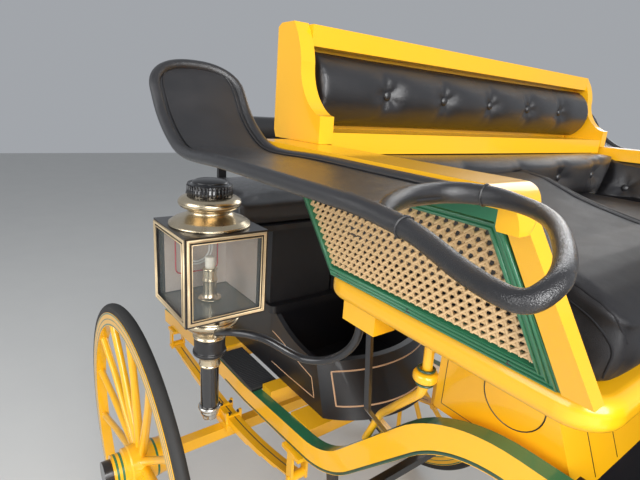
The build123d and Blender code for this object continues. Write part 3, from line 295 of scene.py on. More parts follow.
# %% [markdown]
# ## Leather
# Carriage leather is dyed black and waxed. Its grain is a fine cell pattern with creases over it, and
# the wax gives a soft broad sheen, which turns bluish under the sky.

# %% Leather
def make_leather_group():
    """Waxed leather with a fine grain and soft creases."""
    group, given = new_group("leather", Colour=(0.006, 0.0065, 0.008, 1), Roughness=0.3, Grain=420.0)
    place = put(group, "ShaderNodeTexCoord").outputs["Object"]
    cells = put(group, "ShaderNodeTexVoronoi", feature="DISTANCE_TO_EDGE", Vector=place, Scale=given["Grain"])
    creases = noise(group, 30.0, 6.0, 0.62)
    edges = calc(group, "MULTIPLY", cells.outputs["Distance"], 2.2, clamp=True)
    height = calc(group, "ADD", edges, calc(group, "MULTIPLY", creases, 2.0))
    put(
        group,
        "NodeGroupOutput",
        Colour=mix_colour(group, creases, given["Colour"], (0.018, 0.0165, 0.018, 1)),
        Roughness=calc(group, "ADD", given["Roughness"], calc(group, "MULTIPLY", creases, 0.25)),
        Normal=put(group, "ShaderNodeBump", Strength=0.3, Distance=0.0007, Height=height).outputs["Normal"],
    )
    return group


leather_group = make_leather_group()


def leather(name, roughness, grain, coat, polish):
    """Black leather of one polish and one size of grain."""
    values = {"Roughness": roughness, "Grain": grain}
    coats = {"Coat_Weight": coat, "Coat_Roughness": polish, "Specular_IOR_Level": 0.28}
    return surface(name, "black_leather", leather_group, values, **coats)


black_leather = leather("black_leather", 0.36, 420.0, 0.15, 0.35)
wing_leather = leather("wing_leather", 0.34, 900.0, 1.0, 0.24)
pad_leather = leather("pad_leather", 0.32, 620.0, 1.0, 0.25)
top_leather = leather("top_leather", 0.4, 620.0, 0.2, 0.34)
piping_leather = leather("piping_leather", 0.75, 900.0, 0.0, 0.5)

# %% [markdown]
# ## Metal, rubber, cane and glass
# Each of these varies a little from place to place, so one group mixes two close colours by a noise and
# moves the roughness and the height with it.

# %% Plain finishes
def make_finish_group():
    """Two close colours, a roughness and a height that vary with a noise of a chosen scale."""
    first, second = (0.5, 0.5, 0.5, 1), (0.4, 0.4, 0.4, 1)
    group, given = new_group("varied finish", Colour=first, Second_Colour=second, Roughness=0.4, Scale=60.0, Bump=0.2)
    spots = noise(group, given["Scale"], 5.0, 0.6)
    bump = put(group, "ShaderNodeBump", Distance=0.0005, Strength=given["Bump"], Height=spots)
    put(
        group,
        "NodeGroupOutput",
        Colour=mix_colour(group, spots, given["Colour"], given["Second Colour"]),
        Roughness=calc(group, "ADD", given["Roughness"], calc(group, "MULTIPLY", spots, 0.16), clamp=True),
        Normal=bump.outputs["Normal"],
    )
    return group


finish_group = make_finish_group()


def finish(name, slot, colour, second, metal=0.0, roughness=0.4, scale=60.0, bump=0.2):
    """A material of the varied finish."""
    values = {"Colour": (*colour, 1), "Second_Colour": (*second, 1)}
    values |= {"Roughness": roughness, "Scale": scale, "Bump": bump}
    return surface(name, slot, finish_group, values, Metallic=metal)


brass = finish("brass", "brass", (0.8, 0.71, 0.54), (0.52, 0.4, 0.24), 1.0, 0.17, 34.0, 0.05)
dull_brass = finish("dull_brass", "brass", (0.82, 0.68, 0.46), (0.6, 0.45, 0.26), 0.7, 0.38, 60.0, 0.1)
silver = finish("silver", "brass", (0.82, 0.8, 0.76), (0.6, 0.57, 0.5), 1.0, 0.14, 30.0, 0.05)
rubber = finish("tyre_rubber", "rubber", (0.012, 0.012, 0.012), (0.03, 0.028, 0.026), 0.0, 0.62, 90.0, 0.35)
mat_rubber = finish("mat_rubber", "mat_rubber", (0.035, 0.037, 0.04), (0.012, 0.012, 0.013), 0.0, 0.7, 500.0, 1.0)
cane = finish("cane", "cane", (0.78, 0.54, 0.29), (0.6, 0.38, 0.17), 0.0, 0.34, 90.0, 0.2)
white_enamel = finish("white_enamel", "brass", (0.78, 0.77, 0.73), (0.66, 0.64, 0.6), 0.0, 0.2, 30.0, 0.05)
red_glass = finish("red_glass", "brass", (0.5, 0.05, 0.06), (0.42, 0.04, 0.05), 0.0, 0.12, 20.0, 0.0)
thread = finish("thread", "black_leather", (0.35, 0.34, 0.32), (0.2, 0.2, 0.19), 0.0, 0.7, 300.0, 0.2)
lining = finish("lamp_lining", "brass", (0.62, 0.55, 0.5), (0.42, 0.33, 0.27), 0.35, 0.3, 12.0, 0.05)
wax = finish("wax", "brass", (0.8, 0.76, 0.66), (0.7, 0.66, 0.56), 0.0, 0.4, 20.0, 0.05)

lamp_pane = bpy.data.materials.new("lamp_pane")
lamp_pane.use_nodes = True
pane_values = {"Base Color": (0.3, 0.34, 0.33, 1), "Roughness": 0.03, "Specular IOR Level": 1.0, "Alpha": 0.12}
for label, value in pane_values.items():
    lamp_pane.node_tree.nodes["Principled BSDF"].inputs[label].default_value = value
print("materials:", len(bpy.data.materials))

# %% [markdown]
# ## Paint for each CAD node
# A CAD solid whose shape is right stays, and takes its material in its own slots. Its flat faces stay
# flat and its turned faces are shaded smooth by the angle between neighbours. A narrow bevel catches
# the light along edges, as a sanded and painted edge does.

# %% Dress the nodes
node_finish = {
    yellow_paint: (
        "seat_board back_ends back_rails seat_box cross_bars top_bed lower_bed futchells splinter_bar shafts "
        "shaft_cross_bar rear_axle front_axle rear_springs front_springs spring_clamps spring_irons seat_irons"
    ),
    sill_paint: "sills",
    seat_side_paint: "seat_side_right seat_side_left",
    lamp_tube_paint: "lamp_tubes",
    rear_wheel_paint: "rear_wheel_right rear_wheel_left",
    front_wheel_paint: "front_wheel_right front_wheel_left",
    green_paint: "cane_frames",
    black_paint: (
        "rear_footwell rear_seat_box rear_seat_board rear_seat_frame front_footwell step_boards seat_back_panel"
    ),
    black_iron: "lamp_brackets seat_stays rear_back_irons brake_gear lamp_cases",
    brass: "lamp_brass",
    lamp_pane: "lamp_glass",
    mat_rubber: "step_mats",
    rubber: "rear_tyre_right rear_tyre_left front_tyre_right front_tyre_left",
    cane: "cane_panels",
    black_leather: (
        "wing_right wing_left back_pad back_squab side_squabs seat_cushion driver_cushion rear_cushion "
        "rear_back_pad rear_seat_riser dash"
    ),
}
EDGE = 0.0016
wide_edges = {"seat_side_right": 0.008, "seat_side_left": 0.008, "back_ends": 0.003, "shafts": 0.0}


def dress(obj, material, bevel=0.0):
    """Give an object one material, smooth shading by angle and a narrow bevel."""
    obj.data.materials.clear()
    obj.data.materials.append(material)
    for face in obj.data.polygons:
        face.use_smooth = True
    if bevel:
        rounding = obj.modifiers.new("edge rounding", "BEVEL")
        rounding.width = bevel
        rounding.segments = 3 if bevel > EDGE else 2
        rounding.limit_method = "ANGLE"
        rounding.angle_limit = math.radians(40)
        rounding.harden_normals = True


for material, names in node_finish.items():
    for name in names.split():
        dress(nodes[name], material, wide_edges.get(name, EDGE))
print("dressed nodes:", sum(len(names.split()) for names in node_finish.values()))

# %% [markdown]
# ## Camera
# The photo is taken from close beside the right front corner of the seat, looking back and to the left
# with a wide lens. The matrix below is the camera that fits the photo's edges and vanishing points.

# %% Camera
camera_data = bpy.data.cameras.new("photo camera")
camera_data.lens = 25.99
camera_data.sensor_width = 36.0
camera_data.clip_start = 0.02
camera = bpy.data.objects.new("photo camera", camera_data)
bpy.context.scene.collection.objects.link(camera)
image_right = Vector((0.5952, 0.8006, 0.0689))
image_down = Vector((0.2645, -0.1142, -0.9576))
looking = Vector((-0.7588, 0.5882, -0.2798))
turn = Matrix((image_right, -image_down, -looking)).transposed().to_4x4()
camera.matrix_world = Matrix.Translation((at(1.2612), -0.9325, 1.6261)) @ turn
bpy.context.scene.camera = camera
bpy.context.scene.view_settings.view_transform = "Standard"
print("camera at", [round(value, 3) for value in camera.location])

# %% [markdown]
# ## Geometry Nodes trees
# Lines, tubes, stitches and bolts repeat or follow a path, so each is a Geometry Nodes tree that is
# built once. A piece starts as a few points or edges with the directions stored on them, the tree grows
# the shape, and the result is kept as a plain mesh.

# %% Trees
def new_tree(name, **inputs):
    """A Geometry Nodes tree. The type of each value gives its input's socket, and None an object's."""
    kinds = {float: "NodeSocketFloat", int: "NodeSocketInt", tuple: "NodeSocketVector"}
    tree = bpy.data.node_groups.new(name, "GeometryNodeTree")
    tree.interface.new_socket(name="Geometry", in_out="INPUT", socket_type="NodeSocketGeometry")
    for label, value in inputs.items():
        kind = kinds.get(type(value), "NodeSocketObject")
        made = tree.interface.new_socket(name=label, in_out="INPUT", socket_type=kind)
        if value is not None:
            made.default_value = value
    tree.interface.new_socket(name="Material", in_out="INPUT", socket_type="NodeSocketMaterial")
    tree.interface.new_socket(name="Geometry", in_out="OUTPUT", socket_type="NodeSocketGeometry")
    return tree, tree.nodes.new("NodeGroupInput").outputs


def end_tree(tree, given, geometry):
    """Realize Instances and Set Material close every tree, because the export drops instances."""
    real = put(tree, "GeometryNodeRealizeInstances", Geometry=geometry)
    smooth = put(tree, "GeometryNodeSetShadeSmooth", Geometry=real.outputs["Geometry"])
    painted = put(tree, "GeometryNodeSetMaterial", Geometry=smooth.outputs["Geometry"], Material=given["Material"])
    put(tree, "NodeGroupOutput", Geometry=painted.outputs["Geometry"])
    return tree


def named(tree, name, kind="FLOAT_VECTOR"):
    """The attribute of this name."""
    return put(tree, "GeometryNodeInputNamedAttribute", data_type=kind, Name=name).outputs[0]


def scaled(tree, vector, factor):
    """A vector times a socket."""
    return put(tree, "ShaderNodeVectorMath", operation="SCALE", Vector=vector, Scale=factor).outputs[0]


def make_tube_tree():
    """A round tube along the edges of the input, thicker or thinner where its points say so."""
    tree, given = new_tree("tube", Radius=0.005, Sides=12)
    curve = put(tree, "GeometryNodeMeshToCurve", Mesh=given["Geometry"]).outputs["Curve"]
    ring = put(tree, "GeometryNodeCurvePrimitiveCircle", Radius=given["Radius"], Resolution=given["Sides"])
    swept = put(
        tree,
        "GeometryNodeCurveToMesh",
        Curve=curve,
        Profile_Curve=ring.outputs["Curve"],
        Scale=named(tree, "thick", "FLOAT"),
        Fill_Caps=True,
    )
    return end_tree(tree, given, swept.outputs["Mesh"])


def make_line_tree():
    """A flat painted line along the edges of the input, as wide as asked and a little proud."""
    tree, given = new_tree("coach line", Width=0.003, Height=0.0003)
    half_back = scaled(tree, named(tree, "across"), calc(tree, "MULTIPLY", given["Width"], -0.5))
    moved = put(tree, "GeometryNodeSetPosition", Geometry=given["Geometry"], Offset=half_back)
    across = scaled(tree, named(tree, "across"), given["Width"])
    flat = put(tree, "GeometryNodeExtrudeMesh", mode="EDGES", Mesh=moved.outputs["Geometry"], Offset=across)
    up = scaled(tree, named(tree, "up"), given["Height"])
    raised = put(tree, "GeometryNodeExtrudeMesh", mode="FACES", Individual=False, Mesh=flat.outputs["Mesh"], Offset=up)
    return end_tree(tree, given, raised.outputs["Mesh"])


def make_row_tree():
    """A copy of a small part on each point, with its own Z turned to the point's facing."""
    tree, given = new_tree("row of parts", Part=None, Scale=1.0)
    part = put(tree, "GeometryNodeObjectInfo", Object=given["Part"])
    facing = put(tree, "FunctionNodeAlignRotationToVector", axis="Z", Vector=named(tree, "facing"))
    placed = put(
        tree,
        "GeometryNodeInstanceOnPoints",
        Points=given["Geometry"],
        Instance=part.outputs["Geometry"],
        Rotation=facing.outputs["Rotation"],
        Scale=given["Scale"],
    )
    return end_tree(tree, given, placed.outputs["Instances"])


def make_weave_tree():
    """A cane cell on every point, turned into the plane of its panel."""
    tree, given = new_tree("cane weave", Cell=None, Turn=(0, 0, 0))
    cell_shape = put(tree, "GeometryNodeObjectInfo", Object=given["Cell"]).outputs["Geometry"]
    points = given["Geometry"]
    placed = put(tree, "GeometryNodeInstanceOnPoints", Points=points, Instance=cell_shape, Rotation=given["Turn"])
    return end_tree(tree, given, placed.outputs["Instances"])


tube_tree, line_tree, row_tree, weave_tree = make_tube_tree(), make_line_tree(), make_row_tree(), make_weave_tree()
print("trees:", [group.name for group in bpy.data.node_groups])

# %% [markdown]
# The next helpers start a piece, grow it with a tree and keep it. Each piece rides on one body of the
# carriage.

# %% Pieces from trees
def keep(obj, body="carriage"):
    """A finished piece rides on a body."""
    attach(obj, body)
    return obj


def skin_tree(obj):
    """The surface of an object, for rays."""
    return BVHTree.FromObject(obj, bpy.context.evaluated_depsgraph_get())


def plain_mesh(obj):
    """The mesh that an object's modifiers make."""
    return bpy.data.meshes.new_from_object(obj.evaluated_get(bpy.context.evaluated_depsgraph_get()))


def loose_part(name, points, faces):
    """An object that stays out of the scene, for trees to copy."""
    mesh = bpy.data.meshes.new(name)
    mesh.from_pydata(points, [], faces)
    return bpy.data.objects.new(name, mesh)


def link_mesh(name, points, edges=(), faces=(), vectors=None):
    """An object in the scene with this mesh, and any named vectors stored on its points."""
    mesh = bpy.data.meshes.new(name)
    mesh.from_pydata([tuple(point) for point in points], edges, faces)
    for label, values in (vectors or {}).items():
        stored = mesh.attributes.new(label, "FLOAT_VECTOR", "POINT")
        stored.data.foreach_set("vector", np.asarray(values, dtype=np.float32).ravel())
    obj = bpy.data.objects.new(name, mesh)
    bpy.context.scene.collection.objects.link(obj)
    return obj


def grow(obj, tree, **values):
    """Run a tree on an object and keep the result as its plain mesh."""
    modifier = obj.modifiers.new(tree.name, "NODES")
    modifier.node_group = tree
    for item in tree.interface.items_tree:
        if item.item_type == "SOCKET" and item.in_out == "INPUT" and item.name in values:
            modifier[item.identifier] = values[item.name]
    mesh = plain_mesh(obj)
    obj.modifiers.remove(modifier)
    obj.data = mesh
    for label in ("across", "up", "facing", "thick"):
        if label in mesh.attributes:
            mesh.attributes.remove(mesh.attributes[label])
    return obj


def chains(paths, closed):
    """Points and edges of several paths in one list."""
    points, edges = [], []
    for path in paths:
        first = len(points)
        points.extend(path)
        edges.extend((first + i, first + i + 1) for i in range(len(path) - 1))
        if closed:
            edges.append((first + len(path) - 1, first))
    return points, edges


def tubes(name, paths, radius, material, closed=False, sides_count=12, thick=None):
    """Round tubes along paths, as one piece. Thick holds a factor for each point."""
    points, edges = chains(paths, closed)
    obj = link_mesh(name, points, edges)
    factors = np.ones(len(points)) if thick is None else thick
    stored = obj.data.attributes.new("thick", "FLOAT", "POINT")
    stored.data.foreach_set("value", np.asarray(factors, np.float32))
    grow(obj, tube_tree, Radius=radius, Sides=sides_count, Material=material)
    return keep(obj)


def unit(vector):
    """A vector of length 1. A vector of length 0 stays."""
    return vector / (np.linalg.norm(vector) or 1)


def coach_lines(name, paths, ups, width, material, closed=False, height=0.0003, slot=None, body="carriage"):
    """Painted lines along paths. Each path has the direction that its surface faces, or one a point."""
    points, edges = chains(paths, closed)
    across, rise = [], []
    for path, up in zip(paths, ups):
        count = len(path)
        facings = np.broadcast_to(np.asarray(up, float), (count, 3))
        for i in range(count):
            before = path[i - 1] if (i or closed) else path[i]
            after = path[(i + 1) % count] if (i < count - 1 or closed) else path[i]
            into = unit(np.asarray(path[i], float) - before)
            out = unit(np.asarray(after, float) - path[i])
            mean = unit(into + out)
            stretch = 1 / max(0.5, abs(mean @ (out if np.linalg.norm(out) > 0.5 else into)))
            across.append(np.cross(facings[i], mean) * stretch)
        rise.extend(facings)
    obj = link_mesh(name, points, edges, vectors={"across": across, "up": rise})
    grow(obj, line_tree, Width=width, Height=height, Material=material)
    return keep(obj, body)


def row(name, part, places, facings, material, scale=1.0):
    """Copies of a small part, each turned to its facing, as one piece."""
    obj = link_mesh(name, places, vectors={"facing": facings})
    grow(obj, row_tree, Part=part, Scale=scale, Material=material)
    return keep(obj)


def ring(middle, first, second, count):
    """Points on a circle. First and second run from the middle to the circle, at right angles."""
    middle, first, second = np.array(middle), np.array(first), np.array(second)
    angles = np.linspace(0, 2 * math.pi, count, endpoint=False)
    return [middle + math.cos(a) * first + math.sin(a) * second for a in angles]


def spun(outline, segments, x=0.0, y=0.0):
    """Points and faces of an outline of radius and height spun about an upright axis."""
    points = [point for r, z in outline for point in ring((x, y, z), (r, 0, 0), (0, r, 0), segments)]
    faces = []
    for low in range(0, (len(outline) - 1) * segments, segments):
        for i in range(segments):
            j = (i + 1) % segments
            faces.append((low + i, low + j, low + segments + j, low + segments + i))
    faces.append(tuple(range(segments))[::-1])
    faces.append(tuple(range(len(points) - segments, len(points))))
    return points, faces


def smooth_path(points, count=8):
    """A Catmull-Rom curve through points, with this many steps between neighbours."""
    given = [np.asarray(point, float) for point in points]
    result = []
    for i in range(len(given) - 1):
        p1, p2 = given[i], given[i + 1]
        p0 = given[i - 1] if i else 2 * p1 - p2
        p3 = given[i + 2] if i + 2 < len(given) else 2 * p2 - p1
        for t in (step / count for step in range(count)):
            square, cube = 2 * p0 - 5 * p1 + 4 * p2 - p3, 3 * p1 - p0 - 3 * p2 + p3
            result.append(0.5 * (2 * p1 + (p2 - p0) * t + square * t**2 + cube * t**3))
    return result + [given[-1]]


small_outlines = {
    "button": (((0.0005, 0.004), (0.006, 0.0032), (0.0088, 0.0005), (0.009, -0.003)), 16),
    "bolt_head": (((0.0005, 0.0052), (0.004, 0.0046), (0.0066, 0.0022), (0.0075, 0.0), (0.0075, -0.002)), 14),
    "hex_nut": (((0.003, 0.0105), (0.0034, 0.0085), (0.0068, 0.008), (0.008, 0.0068), (0.008, 0.0)), 6),
    "stitch": (((0.0002, 0.0022), (0.00055, 0.0013), (0.0006, 0.0), (0.00055, -0.0013), (0.0002, -0.0022)), 5),
    "rib": (((0.0004, 0.0108), (0.0022, 0.0096), (0.0022, -0.0096), (0.0004, -0.0108)), 6),
}
small = {name: loose_part(name, *spun(outline, count)) for name, (outline, count) in small_outlines.items()}
print("small parts:", list(small))

# %% [markdown]
# ## Woven cane
# A cane panel is woven from split cane in six steps: two layers upright, two level and one on each
# slant. The slants cut the corners of every square, which leaves eight-sided holes. One cell of the
# weave is a small mesh of flat strands, and a tree sets it out on a grid in each leaning panel.

# %% Cane cell and panels
CANE_PITCH = 0.013
strand_half, pair_apart = 0.00195, 0.00205


def cane_cell():
    """Strands of one cell: two upright, two level and four corner slants, each crowned a little."""
    half = CANE_PITCH / 2
    inset = half - pair_apart
    runs = [((side * inset, -half), (side * inset, half), 0.0) for side in (-1, 1)]
    runs += [((-half, side * inset), (half, side * inset), 0.0003) for side in (-1, 1)]
    for sx in (-1, 1):
        for sy in (-1, 1):
            runs.append(((sx * half, 0), (0, sy * half), 0.0006 if sx * sy > 0 else 0.0008))
    points, faces = [], []
    for (x0, y0), (x1, y1), lift in runs:
        length = math.hypot(x1 - x0, y1 - y0)
        nx, ny = -(y1 - y0) / length * strand_half, (x1 - x0) / length * strand_half
        first = len(points)
        for x, y in ((x0, y0), (x1, y1)):
            for side, rise in ((-1, 0.0), (-0.5, 0.0003), (0.5, 0.0003), (1, 0.0)):
                points.append((x + side * nx, y + side * ny, lift + rise))
        for k in range(3):
            faces.append((first + k, first + 4 + k, first + 5 + k, first + 1 + k))
        faces.append((first + 3, first + 7, first + 4, first))
    return loose_part("cane_cell", points, faces)


cell = cane_cell()
foot_y, head_y, foot_z, head_z = 0.442, 0.536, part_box("seat_board")[1].z, 1.536
lean = math.atan2(head_y - foot_y, head_z - foot_z)


def panel_point(sign, forward, up, out=0.0):
    """A point in a side's leaning plane: forward place, distance up the slope and distance outward."""
    y = foot_y + up * math.sin(lean) + out * math.cos(lean)
    return np.array((at(forward), sign * y, foot_z + up * math.cos(lean) - out * math.sin(lean)))


# the opening of the frame: forward places of its edges and distances up the slope
hole_tail, hole_foot_front, hole_head_front = 0.688, 1.053, 1.015
hole_low, hole_high = 0.024, (head_z - foot_z) / math.cos(lean) - 0.014
for side, sign in sides:
    places = []
    for i in range(int((hole_high - hole_low) / CANE_PITCH) + 2):
        up = hole_low + (i - 0.2) * CANE_PITCH
        share = (up - hole_low) / (hole_high - hole_low)
        front_edge = hole_foot_front + (hole_head_front - hole_foot_front) * share + 0.006
        forward = hole_tail - 0.004
        while forward < front_edge:
            if hole_low - 0.008 < up < hole_high + 0.008:
                places.append(panel_point(sign, forward, up))
            forward += CANE_PITCH
    weave = link_mesh(f"cane_weave_{side}", places)
    grow(weave, weave_tree, Cell=cell, Turn=(-sign * (math.pi / 2 - lean), 0, 0), Material=cane)
    keep(weave)
    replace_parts(weave, "cane_panels")
print("cane cells a side:", len(places))

# %% [markdown]
# ## Mouldings on the green frames
# The frame round the cane carries fine ridges, cut with a moulding plane. Thin beads that follow the
# frame's inner and outer edges give the same light and dark lines.

# %% Frame beads
bead_out = 0.0068
bead_paths = []
for side, sign in sides:
    for inset in (0.0035, 0.011, 0.0185):
        tail, low, high = hole_tail - min(inset, 0.008), hole_low - inset, hole_high + min(inset, 0.010)
        foot, head = hole_foot_front + inset * 1.25, hole_head_front + min(inset, 0.0135)
        corners = ((tail, low), (foot, low), (head, high), (tail, high))
        bead_paths.append([panel_point(sign, forward, up, bead_out) for forward, up in corners])
tubes("frame_beads", bead_paths, 0.0026, green_paint, closed=True, sides_count=10)
print("beads:", len(bead_paths))

# %% [markdown]
# ## Cushions
# A carriage cushion is a leather cover over horsehair. It has no flat face and no sharp corner, so each
# one starts as a copy of its CAD solid, cut to even squares. A cloth simulation then fills it with air
# pressure, which swells the middle of each face and leaves the held side flat against its board. The
# buttons pull the leather in afterwards.

# %% Cushion helpers
def points_of(obj, source="vertices", field="co"):
    """The points of a mesh as rows of numbers, or another field of theirs."""
    rows = np.empty(len(obj.data.vertices) * 3)
    getattr(obj.data, source).foreach_get(field, rows)
    return rows.reshape(-1, 3)


def set_points(obj, rows):
    """Move the points of a mesh."""
    obj.data.vertices.foreach_set("co", rows.ravel())
    obj.data.update()


def bake(obj):
    """Keep what the modifiers make as the plain mesh."""
    mesh = plain_mesh(obj)
    obj.modifiers.clear()
    obj.data = mesh
    return obj


def skin_of(name, sources, square, shrink, rounds):
    """A copy of CAD solids, merged, made a little smaller, cut to even squares and rounded."""
    obj = link_mesh(name, ())
    work = bmesh.new()
    for node in sources:
        work.from_mesh(nodes[node].data)
    bmesh.ops.remove_doubles(work, verts=work.verts, dist=0.0001)
    work.normal_update()
    for vertex in work.verts:
        vertex.co -= vertex.normal * shrink
    work.to_mesh(obj.data)
    work.free()
    squares = obj.modifiers.new("even squares", "REMESH")
    squares.mode = "VOXEL"
    squares.voxel_size = square
    soft = obj.modifiers.new("round edges", "SMOOTH")
    soft.factor = 0.5
    soft.iterations = rounds
    return bake(obj)


def swell(obj, facing, cap, pressure=4.0, last_frame=20):
    """Fill a skin with air. The side away from the facing is held, and no point moves past the cap."""
    before = points_of(obj)
    held = points_of(obj, "vertex_normals", "vector") @ facing < -0.6
    group = obj.vertex_groups.new(name="held")
    group.add([int(i) for i in np.flatnonzero(held)], 1.0, "REPLACE")
    cloth = obj.modifiers.new("air", "CLOTH")
    cloth.settings.use_pressure = True
    cloth.settings.uniform_pressure_force = pressure
    cloth.settings.effector_weights.gravity = 0.0
    cloth.settings.vertex_group_mass = "held"
    cloth.settings.quality = 4
    cloth.point_cache.frame_start = 1
    cloth.point_cache.frame_end = last_frame
    for frame_number in range(1, last_frame + 1):
        bpy.context.scene.frame_set(frame_number)
    bake(obj)
    bpy.context.scene.frame_set(1)
    move = points_of(obj) - before
    length = np.linalg.norm(move, axis=1, keepdims=True)
    set_points(obj, before + move * np.minimum(1.0, cap / np.maximum(length, 1e-9)))


def crown(rows, facing, height):
    """Push the side that looks along the facing outward, most in the middle and nothing at the rim."""
    facing = np.asarray(facing, float)
    main = int(np.argmax(np.abs(facing)))
    low, high = rows.min(axis=0), rows.max(axis=0)
    place = (rows - (low + high) / 2) / ((high - low) / 2)
    share = np.ones(len(rows))
    for axis in range(3):
        if axis != main:
            share *= 1 - np.abs(place[:, axis]) ** 3
    front = np.clip(place[:, main] * np.sign(facing[main]), 0, 1)
    return rows + facing * (height * share * front)[:, None]


def pull_buttons(rows, facing, places, depth, spread):
    """Draw the leather in round each button, with folds that run out from it."""
    side = unit(np.cross(facing, (0, 0, 1)) if abs(facing[2]) < 0.9 else np.array((0, 1.0, 0)))
    other = np.cross(facing, side)
    fold_count, fold_depth, reach = 5, 0.2, 2.2
    rows = rows.copy()
    for count, place in enumerate(places):
        away = rows - np.asarray(place)
        far = np.hypot(away @ side, away @ other) / spread
        angle = np.arctan2(away @ other, away @ side)
        folds = fold_depth * np.cos(fold_count * angle + 1.3 * count) * far * np.exp(-(far**2))
        near = away @ facing > -reach * spread
        rows -= facing * (near * depth * (np.exp(-(far**1.5)) + folds))[:, None]
    return rows


def button_up(obj, facing, tops, depth, spread, skin, sources, finer=True):
    """Pull the buttons in, set them in their hollows, and keep the cushion in place of its solids."""
    set_points(obj, pull_buttons(points_of(obj), facing, tops, depth, spread))
    if finer:
        halved = obj.modifiers.new("finer", "SUBSURF")
        halved.levels = halved.render_levels = 1
        bake(obj)
    dress(obj, skin)
    keep(obj)
    for node in sources:
        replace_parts(obj, node)
    if tops:
        seats = [np.array(top) - facing * (depth - 0.003) for top in tops]
        row(obj.name + "_buttons", small["button"], seats, [facing] * len(seats), pad_leather)


def cushion(
    name, source, facing, square, cap, rise, fill, buttons=(), depth=0.012, spread=0.03,
    shape=None, shrink=0.002, skin=None,
):
    """A soft leather piece made from the CAD solids in source, with its buttons as their own piece."""
    facing = np.asarray(facing, float)
    obj = skin_of(name, source.split(), square, shrink, 8)
    swell(obj, facing, cap)
    rows = crown(points_of(obj), facing, rise)
    set_points(obj, shape(rows) if shape else rows)
    surface_tree, away = skin_tree(obj), Vector(facing)
    tops = [surface_tree.ray_cast(Vector(place) + away * 0.3, -away)[0] for place in buttons]
    button_up(obj, facing, [top for top in tops if top], depth, spread, skin or pad_leather, source.split())
    return obj


# %% [markdown]
# The backrest's pad is one long roll with five buttons. The squab below it and the two side squabs are
# thinner, and the passenger leans on them.

# %% Backrest pad and squabs
bench_middle = centre("seat_back_panel").x
pad_buttons = [(bench_middle, y, 1.65) for y in (-0.313, -0.156, 0.0, 0.156, 0.313)]
cushion("back_pad_leather", "back_pad", (1, 0, 0), 0.005, 0.006, 0.004, 0.8, pad_buttons, 0.016, 0.028)


def fill_below_rail(rows):
    """Let the squab reach the rail above it and the side squabs beside it."""
    low, high = rows.min(axis=0), rows.max(axis=0)
    rows[:, 2] += 0.012 * (rows[:, 2] - low[2]) / (high[2] - low[2])
    rows[:, 1] *= 1.05
    return rows


squab_buttons = [(bench_middle, y, 1.5) for y in (-0.368, -0.184, 0.0, 0.184, 0.368)]
squab = ("back_squab_leather", "back_squab", (1, 0, 0), 0.006, 0.006, 0.010, 0.7, squab_buttons, 0.018, 0.03)
cushion(*squab, shape=fill_below_rail)
for side, sign in sides:
    facing = np.array((0.0, -sign * math.cos(lean), math.sin(lean)))
    obj = skin_of(f"side_squab_{side}", ("side_squabs",), 0.005, 0.0005, 6)
    work = bmesh.new()
    work.from_mesh(obj.data)
    bmesh.ops.delete(work, geom=[v for v in work.verts if v.co.y * sign < 0], context="VERTS")
    work.to_mesh(obj.data)
    work.free()
    swell(obj, facing, 0.006)
    rows = crown(points_of(obj), (0, -sign, 0), 0.009)
    # the rear end runs 30 mm back to the squab behind it, and the top rises 10 mm to the arm
    rows[:, 0] -= 0.03 * np.clip((at(0.86) - rows[:, 0]) / 0.12, 0, 1)
    rows[:, 2] += 0.01 * np.clip((rows[:, 2] - 1.43) / 0.08, 0, 1)
    set_points(obj, rows)
    starts = [Vector((at(forward), 0, 1.476)) for forward in (0.775, 0.96)]
    tops = [skin_tree(obj).ray_cast(start, Vector((0, sign, 0)))[0] for start in starts]
    tops = [top for top in tops if top]
    button_up(obj, facing, tops, 0.012, 0.026, pad_leather, ("side_squabs",), finer=False)
print("side squab points:", len(obj.data.vertices))

# %% [markdown]
# The seat has a box cushion, and the driver sits on a wedge that is high behind, so that the legs can
# brace. The wedge's top dips a little behind its front edge. A rounded border runs round the top between
# two rows of piping.

# %% Seat cushions
# the line of the wedge's top: places forward of the rear axle, and heights
wedge_forward = (0.70, 0.74, 0.79, 0.86, 0.90, 0.94, 0.972, 1.03, 1.054, 1.08, 1.10, 1.118, 1.13)
wedge_height = (1.519, 1.519, 1.512, 1.487, 1.477, 1.469, 1.463, 1.461, 1.456, 1.446, 1.434, 1.415, 1.38)
wedge_low, wedge_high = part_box("driver_cushion")


def wedge_top(forward):
    """Height of the wedge's top at a place forward of the rear axle."""
    return np.interp(forward, wedge_forward, wedge_height)


def ridge(places, middle, width):
    """A smooth ridge of height 1 about a middle."""
    return np.exp(-(((places - middle) / width) ** 2))


